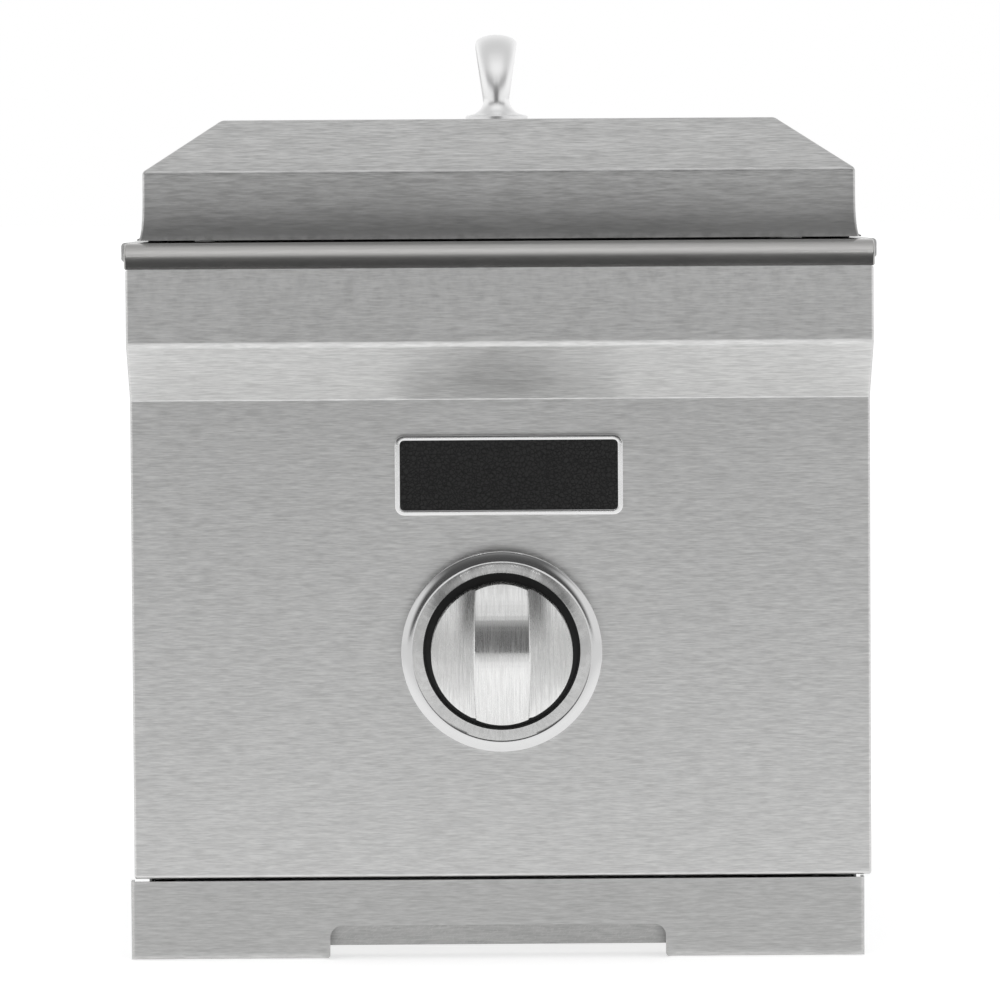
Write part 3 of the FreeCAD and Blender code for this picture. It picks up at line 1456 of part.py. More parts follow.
def make_valve_body():
    """Brass valve block with a tapered bore, an outlet boss on top and an inlet boss at the side."""
    body = new_body("valve_body", y="block_front", z="knob_z")
    passage = "passage_y - block_front"
    block = new_sketch(body, "block", "XZ_Plane")
    centred_rectangle(block, "valve_block", "valve_block_height")
    cast = pad(body, block, "valve_block_run", reverse=True)
    round_edges(body, cast, "valve_corner", lambda box: near(box.XLength, 0) and near(box.ZLength, 0))
    tail = new_sketch(body, "tail", "XZ_Plane")
    circle(tail, "0", "0", "valve_tail_radius")
    pad(body, tail, "valve_run", reverse=True)
    outlet = new_sketch(body, "outlet", "XY_Plane")
    circle(outlet, "0", passage, "outlet_radius")
    pad(body, outlet, "outlet_rise")
    inlet = new_sketch(body, "inlet", "YZ_Plane")
    circle(inlet, passage, "0", "inlet_radius")
    pad(body, inlet, "inlet_reach")
    bore = new_sketch(body, "bore", "XY_Plane")
    room = "plug_front_radius + plug_end_gap"
    mouth = "plug_front - block_front - plug_end_gap"
    outline(bore, [
        ("0", "-plug_end_gap"),
        (room, "-plug_end_gap"),
        (room, mouth),
        ("plug_front_radius + running_gap", mouth),
        ("plug_rear_radius + running_gap", "plug_back - block_front"),
        ("plug_rear_radius + running_gap", "plug_back - block_front + plug_end_gap"),
        ("0", "plug_back - block_front + plug_end_gap"),
    ])
    revolve(body, bore, cut=True)
    gas_up = new_sketch(body, "gas_up", "XY_Plane")
    circle(gas_up, "0", passage, "gas_passage")
    pocket(body, gas_up, "outlet_rise", reverse=True)
    gas_side = new_sketch(body, "gas_side", "YZ_Plane")
    circle(gas_side, passage, "0", "gas_passage")
    pocket(body, gas_side, "inlet_reach", reverse=True)


def make_valve_bonnet():
    """Cover plate that closes the valve and screws up behind the fascia."""
    body = new_body("valve_bonnet", y="bonnet_front", z="knob_z")
    plate = new_sketch(body, "plate", "XZ_Plane")
    centred_rectangle(plate, "bonnet_width", "bonnet_height")
    circle(plate, "0", "0", "stem_radius + stem_hole_gap")
    for side in ("-", "+"):
        circle(plate, f"0 {side} bonnet_screw_pitch / 2", "0", "bonnet_screw_radius + screw_gap")
    slab = pad(body, plate, "bonnet_thick", reverse=True)
    round_edges(
        body, slab, "bonnet_corner",
        lambda box: near(box.XLength, 0) and near(box.ZLength, 0)
        and near(abs(box.XMin), value("bonnet_width / 2")))


def make_valve_screws():
    """Screws through the bezel's floor and the fascia into the bonnet."""
    spots = [(f"0 {side} bonnet_screw_pitch / 2", "face_y - bezel_floor", "knob_z") for side in ("-", "+")]
    screw = screw_shape("bonnet_screw", "bezel_floor + panel_sheet + bonnet_thick")
    fastener_group("valve_screws", screw, spots, (0, -1, 0))


def make_valve_plug():
    """Tapered plug that turns in the valve, slotted for the stem and drilled for gas."""
    body = new_body("valve_plug", y="plug_front", z="knob_z")
    cone = new_sketch(body, "cone", "XY_Plane")
    outline(cone, [
        ("0", "0"), ("plug_front_radius", "0"), ("plug_rear_radius", "plug_run"), ("0", "plug_run"),
    ])
    revolve(body, cone)
    slot = new_sketch(body, "slot", "XZ_Plane")
    centred_rectangle(slot, "2 * (stem_radius + plug_slot_gap)", "plug_slot_width + 2 * plug_slot_gap")
    pocket(body, slot, "plug_slot_depth")
    passage = new_sketch(body, "passage", "YZ_Plane")
    circle(passage, "passage_y - plug_front", "0", "plug_passage_radius")
    pocket(body, passage, "2 * plug_front_radius", reverse=True)


def make_valve_stem():
    """Stem with a D-shaped front end, a collar for the spring and a flat tang."""
    body = new_body("valve_stem", y="face_y", z="knob_z")
    tip = "knob_proud - knob_head - push_spare"
    front = new_sketch(body, "front", "XZ_Plane", tip)
    d_outline(front, "stem_radius", "stem_flat")
    pad(body, front, f"{tip} + panel_sheet", reverse=True)
    shaft = new_sketch(body, "shaft", "XZ_Plane")
    circle(shaft, "0", "0", "stem_radius")
    pad(body, shaft, "shaft_end - face_y", reverse=True)
    collar = new_sketch(body, "collar", "XZ_Plane", "-(collar_front - face_y)")
    circle(collar, "0", "0", "stem_collar_radius")
    pad(body, collar, "stem_collar", reverse=True)
    tang = new_sketch(body, "tang", "XZ_Plane", "-(shaft_end - face_y)")
    centred_rectangle(tang, "2 * (stem_radius - plug_slot_gap)", "plug_slot_width")
    pad(body, tang, "plug_slot_depth", reverse=True)


def make_stem_spring():
    """Coil spring between the collar and the plug that pushes the knob back out."""
    turns = value("spring_turns")
    run = value("spring_room - spring_wire - 2 * spring_gap")
    radius = value("spring_radius")
    thick = value("spring_wire / 2")
    sides = 8
    corners = [2 * math.pi * side / sides for side in range(sides)]
    ring = [vec(radius + thick * math.cos(turn), 0, thick * math.sin(turn)) for turn in corners]
    wire = Part.Wire(Part.makePolygon(ring + ring[:1]))
    coil = Part.Wire(Part.makeHelix(run / turns, run, radius)).makePipeShell([wire], True, True)
    print("stem_spring least gap between turns", round(run / turns - 2 * thick, 2))
    spring = doc.addObject("Part::Feature", "stem_spring")
    spring.Shape = coil
    start = vec(0, value("collar_front + stem_collar + spring_wire / 2 + spring_gap"), value("knob_z"))
    spring.Placement = FreeCAD.Placement(start, FreeCAD.Rotation(vec(0, 0, 1), vec(0, 1, 0)))
    spring.Label = "stem_spring"
    nodes.append(spring)


def bent_tube(name, points, bend, radius, wall):
    """A tube through points with one radius at each bend, hollow where it has a wall."""
    spots = [vec(*(value(part) for part in point)) for point in points]
    legs = []
    start = spots[0]
    for index in range(1, len(spots) - 1):
        into = (spots[index] - spots[index - 1]).normalize()
        out = (spots[index + 1] - spots[index]).normalize()
        turn = into.getAngle(out)
        cut = value(bend) * math.tan(turn / 2)
        first = spots[index] - into * cut
        last = spots[index] + out * cut
        crown = spots[index] + (out - into).normalize() * value(bend) * (1 / math.cos(turn / 2) - 1)
        legs.append(Part.LineSegment(start, first).toShape())
        legs.append(Part.Arc(first, crown, last).toShape())
        start = last
    legs.append(Part.LineSegment(start, spots[-1]).toShape())
    path = Part.Wire(legs)
    along = (spots[1] - spots[0]).normalize()
    outer = path.makePipeShell([Part.Wire([Part.makeCircle(value(radius), spots[0], along)])], True, False)
    if wall is None:
        shape = outer
    else:
        bore = Part.Wire([Part.makeCircle(value(f"{radius} - {wall}"), spots[0], along)])
        shape = outer.cut(path.makePipeShell([bore], True, False))
    tube = doc.addObject("Part::Feature", name)
    tube.Shape = shape
    tube.Label = name
    nodes.append(tube)
    print(name, "length", round(path.Length, 1), "bend", value(bend))
    return tube


def make_gas_tubes():
    """Feed tube up to the orifice, supply tube back to the inlet, and their nuts."""
    bent_tube("feed_tube", [
        ("0", "passage_y", "outlet_z"),
        ("0", "passage_y", "mixing_z"),
        ("0", "holder_y - holder_block / 2", "mixing_z"),
    ], "feed_bend", "feed_tube_radius", "feed_tube_wall")
    bent_tube("supply_tube", [
        ("inlet_reach", "passage_y", "knob_z"),
        ("supply_x", "passage_y", "knob_z"),
        ("supply_x", "inlet_y", "knob_z"),
    ], "supply_bend", "supply_tube_radius", "supply_tube_wall")
    flare_nut("feed_flare_nut", "0", "passage_y", "outlet_z - flare_nut_lap", "feed_tube_radius",
              "outlet_radius", (0, 0, 1))
    flare_nut("supply_flare_nut", "inlet_reach - flare_nut_lap", "passage_y", "knob_z", "supply_tube_radius",
              "inlet_radius", (1, 0, 0))


def flare_nut(name, x, y, z, tube, boss, direction):
    """Hexagon nut that draws a tube's end onto a boss."""
    body = new_body(name)
    body.Placement = FreeCAD.Placement(vec(), FreeCAD.Rotation(vec(0, 0, 1), vec(*direction)))
    place(body, x, y, z)
    hexagon = new_sketch(body, "hexagon", "XY_Plane")
    hex_outline(hexagon, "flare_nut_flats")
    circle(hexagon, "0", "0", f"{tube} + running_gap")
    pad(body, hexagon, "flare_nut_height")
    boss_hole = new_sketch(body, "boss_hole", "XY_Plane")
    circle(boss_hole, "0", "0", f"{boss} + running_gap")
    pocket(body, boss_hole, "flare_nut_lap", reverse=True)


def make_inlet():
    """Union at the back with a threaded socket for the supply hose, and its locknut."""
    body = new_body("gas_inlet_fitting", "supply_x", "inlet_y", "knob_z")
    hexagon = new_sketch(body, "hexagon", "XZ_Plane")
    hex_outline(hexagon, "inlet_hex_flats")
    pad(body, hexagon, "inlet_hex_run", reverse=True)
    neck = new_sketch(body, "neck", "XZ_Plane")
    circle(neck, "0", "0", "inlet_thread_radius")
    pad(body, neck, "inlet_hex_run + box_sheet + inlet_outside", reverse=True)
    socket = new_sketch(body, "socket", "XZ_Plane", "-(inlet_hex_run + box_sheet + inlet_outside)")
    circle(socket, "0", "0", "inlet_bore")
    pocket(body, socket, "inlet_bore_depth", reverse=True)
    way = new_sketch(body, "gas_way", "XZ_Plane")
    circle(way, "0", "0", "supply_tube_radius - supply_tube_wall")
    pocket(body, way)
    nut = new_body("gas_inlet_locknut", "supply_x", "box_back", "knob_z")
    ring = new_sketch(nut, "ring", "XZ_Plane")
    hex_outline(ring, "locknut_flats")
    circle(ring, "0", "0", "inlet_thread_radius + running_gap")
    pad(nut, ring, "locknut_thick", reverse=True)


def make_orifice():
    """Block with the brass orifice that points into the mixing tube."""
    body = new_body("orifice_holder", y="holder_y", z="mixing_z")
    block = new_sketch(body, "block", "XZ_Plane", "holder_block / 2")
    centred_rectangle(block, "holder_face", "holder_face")
    pad(body, block, "holder_block", reverse=True)
    way = new_sketch(body, "way", "XZ_Plane")
    circle(way, "0", "0", "feed_tube_radius - feed_tube_wall")
    pocket(body, way)
    turned_part("orifice_spud", [
        ("spud_bore", "0"),
        ("spud_radius", "0"),
        ("spud_radius", "spud_run - spud_nose"),
        ("spud_tip_radius", "spud_run"),
        ("spud_bore", "spud_run"),
    ], y="holder_y + holder_block / 2", z="mixing_z")


def make_orifice_bracket():
    """Strap that hangs the orifice holder from the underside of the bowl."""
    body = new_body("orifice_bracket", y="holder_y", z="mixing_z")
    section = new_sketch(body, "section", "XZ_Plane", "holder_block / 2 - orifice_inset")
    inner = "(holder_face / 2 + weld_lap / 2)"
    outer = f"({inner} + orifice_plate)"
    top = "(bowl_floor_z - mixing_z)"
    outline(section, [
        (f"-{outer} - orifice_ear", top),
        (f"{outer} + orifice_ear", top),
        (f"{outer} + orifice_ear", f"{top} - orifice_plate"),
        (outer, f"{top} - orifice_plate"),
        (outer, f"-{outer}"),
        (f"-{outer}", f"-{outer}"),
        (f"-{outer}", f"{top} - orifice_plate"),
        (f"-{outer} - orifice_ear", f"{top} - orifice_plate"),
    ])
    pad(body, section, "holder_block - 2 * orifice_inset", reverse=True)
    window = new_sketch(body, "window", "XZ_Plane")
    rectangle(window, f"-{inner}", f"-{inner}", inner, inner)
    pocket(body, window)


# Ignition


def make_igniter():
    """Spark module clipped to the valve's side, with the terminal of the lead."""
    body = new_body("spark_igniter", "-valve_block / 2", "block_front", "knob_z")
    case = new_sketch(body, "case", "XZ_Plane")
    rectangle(case, "-igniter_width", "-igniter_height / 2", "0", "igniter_height / 2")
    block = pad(body, case, "igniter_run", reverse=True)
    round_edges(
        body, block, "igniter_corner",
        lambda box: near(box.XLength, 0) and near(box.ZLength, 0) and near(box.XMin, value("-igniter_width")))
    terminal = new_sketch(body, "terminal", "XZ_Plane", "-igniter_run")
    circle(terminal, "-igniter_width / 2", "0", "terminal_radius")
    pad(body, terminal, "terminal_run", reverse=True)


def make_electrode():
    """Ceramic insulator beside the crown and the steel rod that it holds."""
    place_at = ("-electrode_offset", "middle_y", "bowl_floor_z - electrode_plate")
    bore = "electrode_rod + electrode_fit"
    tail = "electrode_radius - electrode_tail_step"
    rim = "electrode_radius + electrode_collar_rim"
    turned_part("electrode_insulator", [
        (bore, "-insulator_tail"),
        (tail, "-insulator_tail"),
        (tail, "-insulator_tail * electrode_tail_share"),
        ("electrode_radius", "-insulator_tail * electrode_tail_share"),
        ("electrode_radius", "-electrode_collar"),
        (rim, "-electrode_collar"),
        (rim, "0"),
        ("electrode_radius", "0"),
        ("electrode_radius", "insulator_rise"),
        (bore, "insulator_rise"),
    ], *place_at, plane="XZ_Plane")
    rod = new_body("spark_electrode", *place_at)
    straight = new_sketch(rod, "straight", "XY_Plane", "-insulator_tail - electrode_end")
    circle(straight, "0", "0", "electrode_rod")
    pad(rod, straight, "electrode_end + insulator_tail + insulator_rise + electrode_head")
    tip = new_sketch(rod, "tip", "YZ_Plane")
    circle(tip, "0", "insulator_rise + electrode_head - electrode_rod", "electrode_rod")
    pad(rod, tip, "electrode_offset - head_radius - spark_gap")


def make_electrode_clip():
    """Plate under the bowl that holds the insulator's collar, and its screw."""
    body = new_body("electrode_bracket", "-electrode_offset", "middle_y", "bowl_floor_z - electrode_plate")
    plate = new_sketch(body, "plate", "XY_Plane")
    centred_rectangle(plate, "electrode_clip_width", "electrode_clip_run")
    circle(plate, "0", "0", "electrode_radius + weld_lap / 2")
    circle(plate, "-clip_screw_offset", "0", "clip_screw_radius + screw_gap")
    pad(body, plate, "electrode_plate")
    spot = ("-electrode_offset - clip_screw_offset", "middle_y", "bowl_floor_z - electrode_plate")
    screw = screw_shape("clip_screw", "electrode_plate + box_sheet")
    fastener_group("electrode_bracket_screw", screw, [spot], (0, 0, -1))


def make_ignition_lead():
    """Insulated lead from the spark module up to the electrode, held at both ends."""
    start_x = "-(valve_block + igniter_width) / 2"
    end_z = "bowl_floor_z - electrode_plate - insulator_tail - electrode_end"
    bent_tube("ignition_lead", [
        (start_x, "block_front + igniter_run + terminal_run", "knob_z"),
        (start_x, "middle_y - lead_level_end", "knob_z"),
        ("-electrode_offset", "middle_y", f"{end_z} - lead_drop"),
        ("-electrode_offset", "middle_y", end_z),
    ], "lead_bend", "lead_radius", None)


def make_all():
    """Build every sub-part in the order in which the unit goes together."""
    make_front_panel()
    make_badge()
    make_bezel()
    make_knob()
    make_knob_insert()
    make_deck()
    make_side_wall("left_side_wall", "-")
    make_side_wall("right_side_wall", "+")
    make_rear_panel()
    make_rear_screws()
    make_runner("left_tray_runner", "-")
    make_runner("right_tray_runner", "+")
    make_heat_shield()
    make_lid_shell()
    make_handle()
    make_lid_hardware()
    make_tray_front()
    make_tray_pan()
    make_tray_nuts()
    make_bowl()
    make_grate()
    make_burner_base()
    make_burner_head()
    make_burner_cap()
    make_burner_screws()
    make_mixing_tube()
    make_air_shutter()
    make_valve_body()
    make_valve_bonnet()
    make_valve_screws()
    make_valve_plug()
    make_valve_stem()
    make_stem_spring()
    make_gas_tubes()
    make_inlet()
    make_orifice()
    make_orifice_bracket()
    make_igniter()
    make_electrode()
    make_electrode_clip()
    make_ignition_lead()


def check_and_write():
    """Stop on any failed object, then write one file for each sub-part."""
    doc.recompute()
    for item in doc.Objects:
        if "Invalid" in item.State or "Error" in item.State:
            raise ValueError(f"{item.Name} failed: {item.State}")
    for node in nodes:
        if node.Shape.isNull() or not node.Shape.isValid():
            raise ValueError(f"{node.Label} has no valid shape")
    os.makedirs("parts", exist_ok=True)
    for node in nodes:
        node.Shape.exportStep(os.path.join("parts", node.Label + ".step"))


make_all()
check_and_write()
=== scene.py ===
"""Looks of a built-in side burner: brushed fascia, lift-off lid, knob, burner, tray and box."""
import logging
import math
from dataclasses import dataclass
from enum import Enum
from functools import cached_property
from typing import Callable, Iterable, NamedTuple, Sequence

import bmesh
import bpy
from bmesh.types import BMEdge, BMesh, BMFace, BMVert
from bpy.types import Material, Node, NodeSocket, NodeTree, Object
from mathutils import Matrix, Quaternion, Vector


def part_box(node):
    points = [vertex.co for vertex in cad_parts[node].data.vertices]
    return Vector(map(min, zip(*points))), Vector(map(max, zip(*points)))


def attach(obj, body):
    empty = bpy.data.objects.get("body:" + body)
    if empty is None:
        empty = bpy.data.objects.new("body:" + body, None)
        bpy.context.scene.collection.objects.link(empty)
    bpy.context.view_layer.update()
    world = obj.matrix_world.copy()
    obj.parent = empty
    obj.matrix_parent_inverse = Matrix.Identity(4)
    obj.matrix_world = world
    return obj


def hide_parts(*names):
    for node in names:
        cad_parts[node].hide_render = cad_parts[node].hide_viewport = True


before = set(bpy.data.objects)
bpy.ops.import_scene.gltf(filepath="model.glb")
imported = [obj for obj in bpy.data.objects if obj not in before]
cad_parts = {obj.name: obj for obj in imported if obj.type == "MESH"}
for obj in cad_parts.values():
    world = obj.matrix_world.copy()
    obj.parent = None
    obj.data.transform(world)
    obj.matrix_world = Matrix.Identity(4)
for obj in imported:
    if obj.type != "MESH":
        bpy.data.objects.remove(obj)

LOG = logging.getLogger("side_burner")
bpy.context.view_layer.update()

MM = 0.001
FULL_TURN = 2 * math.pi
QUARTER_TURN = math.pi / 2
MERGE = 0.02 * MM
CAD_MERGE = 0.002 * MM
CAD_FLAT = math.radians(0.5)
FACING = 0.99
GRAIN_MAP = "grain"

Point = tuple[float, float]
Place = tuple[float, float, float]
Colour = tuple[float, float, float]
Sockets = bpy.types.bpy_prop_collection


class Axis(Enum):
    """Direction that a grain, a spin or an extrusion follows."""

    X = 0
    Y = 1
    Z = 2

    @property
    def vector(self) -> Vector:
        """Unit vector of the axis."""
        return Vector(self.stretched(1.0, 0.0))

    def stretched(self, along: float, across: float) -> list[float]:
        """Three factors: one along the axis and another across it."""
        return [along if part == self.value else across for part in range(3)]


# ---- Node trees -------------------------------------------------------------------------------


class Tree:
    """Short calls for building one node tree."""

    COLOUR_INPUTS = (6, 7)
    COLOUR_OUTPUT = 2

    def __init__(self, tree: NodeTree) -> None:
        """Keeps the tree that the calls build in."""
        self.tree = tree

    def add(self, kind: str, settings: dict | None = None, **inputs) -> Node:
        """Adds a node, with its settings and its inputs set or linked.

        Args:
            kind: the node's type name.
            settings: properties of the node itself.
            inputs: socket names, with spaces as underscores, and their value or source socket.

        Returns:
            The new node.
        """
        node = self.tree.nodes.new(kind)
        for name, value in (settings or {}).items():
            setattr(node, name, value)
        for name, value in inputs.items():
            self.feed(node.inputs[name.replace("_", " ")], value)
        return node

    def feed(self, socket: NodeSocket, value) -> None:
        """Links a socket to another, or gives it a value."""
        if isinstance(value, NodeSocket):
            self.tree.links.new(value, socket)
        else:
            socket.default_value = value

    def math(self, operation: str, first, second=0.0, kind: str = "ShaderNodeMath") -> NodeSocket:
        """Joins two values or two vectors.

        Args:
            operation: name of the node's operation.
            first: value or socket.
            second: value or socket.
            kind: the node's type name, for values or for vectors.

        Returns:
            The result's socket.
        """
        node = self.add(kind, {"operation": operation})
        self.feed(node.inputs[0], first)
        self.feed(node.inputs[1], second)
        return node.outputs[0]

    def times(self, first, second) -> NodeSocket:
        """Product of two values."""
        return self.math("MULTIPLY", first, second)

    def plus(self, first, second) -> NodeSocket:
        """Sum of two values."""
        return self.math("ADD", first, second)

    def scaled(self, vector, factors) -> NodeSocket:
        """A vector multiplied by three factors."""
        return self.math("MULTIPLY", vector, factors, "ShaderNodeVectorMath")

    def noise(self, vector, scale, detail: float = 2.0, rough: float = 0.5) -> NodeSocket:
        """Noise values between 0 and 1.

        Args:
            vector: coordinates.
            scale: how many features a metre holds.
            detail: number of finer layers.
            rough: strength of the finer layers.

        Returns:
            The value's socket.
        """
        return self.add("ShaderNodeTexNoise", Vector=vector, Scale=scale, Detail=detail,
                        Roughness=rough).outputs["Fac"]

    def ranged(self, value, low: float, high: float, to_low: float = 0.0,
               to_high: float = 1.0) -> NodeSocket:
        """A value carried from one range into another, held at its ends."""
        return self.add("ShaderNodeMapRange", {"clamp": True}, Value=value, From_Min=low,
                        From_Max=high, To_Min=to_low, To_Max=to_high).outputs["Result"]

    def ramp(self, value, stops: Sequence[Point]) -> NodeSocket:
        """A grey read from a value.

        Args:
            value: socket between 0 and 1.
            stops: pairs of value and grey, in order.

        Returns:
            The colour's socket.
        """
        node = self.add("ShaderNodeValToRGB", Fac=value)
        marks = node.color_ramp.elements
        while len(marks) < len(stops):
            marks.new(1.0)
        for mark, (place, grey) in zip(marks, stops):
            mark.position = place
            mark.color = (grey, grey, grey, 1.0)
        return node.outputs["Color"]

    def mixed(self, share, first, second) -> NodeSocket:
        """A colour between two others.

        Args:
            share: mask from 0, the first, to 1, the second.
            first: colour or socket.
            second: colour or socket.

        Returns:
            The colour's socket.
        """
        node = self.add("ShaderNodeMix", {"data_type": "RGBA"})
        self.feed(node.inputs["Factor"], share)
        for index, colour in zip(self.COLOUR_INPUTS, (first, second)):
            plain = isinstance(colour, tuple)
            self.feed(node.inputs[index], (*colour, 1.0) if plain else colour)
        return node.outputs[self.COLOUR_OUTPUT]

    def laid(self, mask, share: float, under, over) -> NodeSocket:
        """One colour laid over another where a mask is, as strongly as a share."""
        return self.mixed(self.times(mask, share), under, over)


def fresh_tree(owner: Material | bpy.types.World) -> Tree:
    """The node tree of a material or a world, emptied."""
    owner.use_nodes = True
    owner.node_tree.nodes.clear()
    return Tree(owner.node_tree)


SOCKET_KINDS = {"Vector": "NodeSocketVector", "Density": "NodeSocketVector"}


def shared_group(inputs: Sequence[str], outputs: Sequence[str]) -> Callable:
    """Turns a function that fills a tree into one that gives the filled group.

    The function gets the tree, the group's input sockets and its output sockets.

    Args:
        inputs: names of the group's inputs.
        outputs: names of its outputs.

    Returns:
        The decorator.
    """
    def wrap(fill: Callable) -> Callable[[], NodeTree]:
        """Names the group after the function that fills it."""
        def group() -> NodeTree:
            """The group, built the first time it is asked for."""
            made = bpy.data.node_groups.get(fill.__name__)
            if made:
                return made
            made = bpy.data.node_groups.new(fill.__name__, "ShaderNodeTree")
            for names, way in ((inputs, "INPUT"), (outputs, "OUTPUT")):
                for name in names:
                    kind = SOCKET_KINDS.get(name, "NodeSocketFloat")
                    made.interface.new_socket(name=name, in_out=way, socket_type=kind)
            tree = Tree(made)
            entry = tree.add("NodeGroupInput")
            leave = tree.add("NodeGroupOutput")
            fill(tree, entry.outputs, leave.inputs)
            return made
        return group
    return wrap


HAIR_SHARE = 0.65
HAIR_ROUGH = 0.6
STROKE_STRETCH = (0.5, 0.4, 0.4)
BAND_STRETCH = (0.12, 0.1, 0.1)
LINE_LEVELS = (0.36, 0.64)
BAND_LEVELS = (0.3, 0.7)


@shared_group(("Vector", "Density"), ("Lines", "Bands", "Height"))
def brushed_grain(tree: Tree, entry: Sockets, leave: Sockets) -> None:
    """Belt marks as stretched noise: hair lines, longer strokes and broad bands."""
    place = tree.scaled(entry["Vector"], entry["Density"])
    hair = tree.noise(place, 1.0, rough=HAIR_ROUGH)
    stroke = tree.noise(tree.scaled(place, STROKE_STRETCH), 1.0, detail=1.0)
    band = tree.noise(tree.scaled(place, BAND_STRETCH), 1.0, detail=1.0)
    fine = tree.plus(tree.times(hair, HAIR_SHARE), tree.times(stroke, 1 - HAIR_SHARE))
    tree.feed(leave["Lines"], tree.ranged(fine, *LINE_LEVELS))
    tree.feed(leave["Bands"], tree.ranged(band, *BAND_LEVELS))
    tree.feed(leave["Height"], fine)


TOUCHED_LEVELS = (0.42, 0.68)


@shared_group(("Vector", "Scale"), ("Mask",))
def handling_marks(tree: Tree, entry: Sockets, leave: Sockets) -> None:
    """Soft clouds where a surface has been wiped and touched."""
    clouds = tree.noise(entry["Vector"], entry["Scale"], detail=3.0)
    tree.feed(leave["Mask"], tree.ranged(clouds, *TOUCHED_LEVELS))


EDGE_LEVELS = (0.52, 0.6)
CHIP_SCALE = 260.0
CHIP_LEVELS = (0.35, 0.6)
CHIP_LEAST = 0.2


@shared_group(("Vector",), ("Mask",))
def edge_wear(tree: Tree, entry: Sockets, leave: Sockets) -> None:
    """Mask of outward edges, from the mesh's curvature, broken up as use breaks them."""
    curved = tree.add("ShaderNodeNewGeometry").outputs["Pointiness"]
    broken = tree.noise(entry["Vector"], CHIP_SCALE, detail=3.0)
    chips = tree.ranged(broken, *CHIP_LEVELS, CHIP_LEAST)
    tree.feed(leave["Mask"], tree.times(tree.ranged(curved, *EDGE_LEVELS), chips))


SPECKLE_LEVELS = (0.6, 1.1)


@shared_group(("Vector", "Scale"), ("Height", "Speckle"))
def cast_skin(tree: Tree, entry: Sockets, leave: Sockets) -> None:
    """Surface cast in sand: grains of one size over a slower swell."""
    cells = tree.add("ShaderNodeTexVoronoi", {"feature": "SMOOTH_F1"},
                     Vector=entry["Vector"], Scale=entry["Scale"])
    swell = tree.noise(entry["Vector"], entry["Scale"], detail=4.0)
    height = tree.plus(cells.outputs["Distance"], swell)
    tree.feed(leave["Height"], height)
    tree.feed(leave["Speckle"], tree.ranged(height, *SPECKLE_LEVELS))


SCRATCH_SETS = ((0.55, 1.0), (0.9, 1.3))
SCRATCH_STRETCH = (30.0, 1400.0, 1400.0)
SCRATCH_LEVELS = (0.6, 0.68)


@shared_group(("Vector",), ("Mask",))
def fine_scratches(tree: Tree, entry: Sockets, leave: Sockets) -> None:
    """Long thin scratches: two turned sets of narrow peaks that cross at a shallow angle."""
    found = 0.0
    for turn, size in SCRATCH_SETS:
        turned = tree.add("ShaderNodeMapping", Vector=entry["Vector"],
                          Rotation=(0.0, turn, turn / 2)).outputs[0]
        stretch = tuple(part * size for part in SCRATCH_STRETCH)
        lines = tree.noise(tree.scaled(turned, stretch), 1.0, detail=1.0)
        found = tree.math("MAXIMUM", found, tree.ranged(lines, *SCRATCH_LEVELS))
    tree.feed(leave["Mask"], found)


# ---- Finishes ---------------------------------------------------------------------------------


class Pattern(NamedTuple):
    """What a finish draws on a piece."""

    colour: NodeSocket
    rougher: NodeSocket
    height: NodeSocket


class Coat:
    """A material being built, with the shared effects laid in Object coordinates."""

    def __init__(self, material: Material, mark_scale: float) -> None:
        """Empties the material's tree.

        Args:
            material: the new material.
            mark_scale: how many handling marks a metre holds.
        """
        self.tree = fresh_tree(material)
        self.place = self.tree.add("ShaderNodeTexCoord").outputs["Object"]
        self.mark_scale = mark_scale

    def effect(self, group: Callable[[], NodeTree], **inputs) -> Sockets:
        """Outputs of a shared group, with its inputs."""
        return self.tree.add("ShaderNodeGroup", {"node_tree": group()},
                             Vector=self.place, **inputs).outputs

    @cached_property
    def marks(self) -> NodeSocket:
        """Mask of the handling marks."""
        return self.effect(handling_marks, Scale=self.mark_scale)["Mask"]


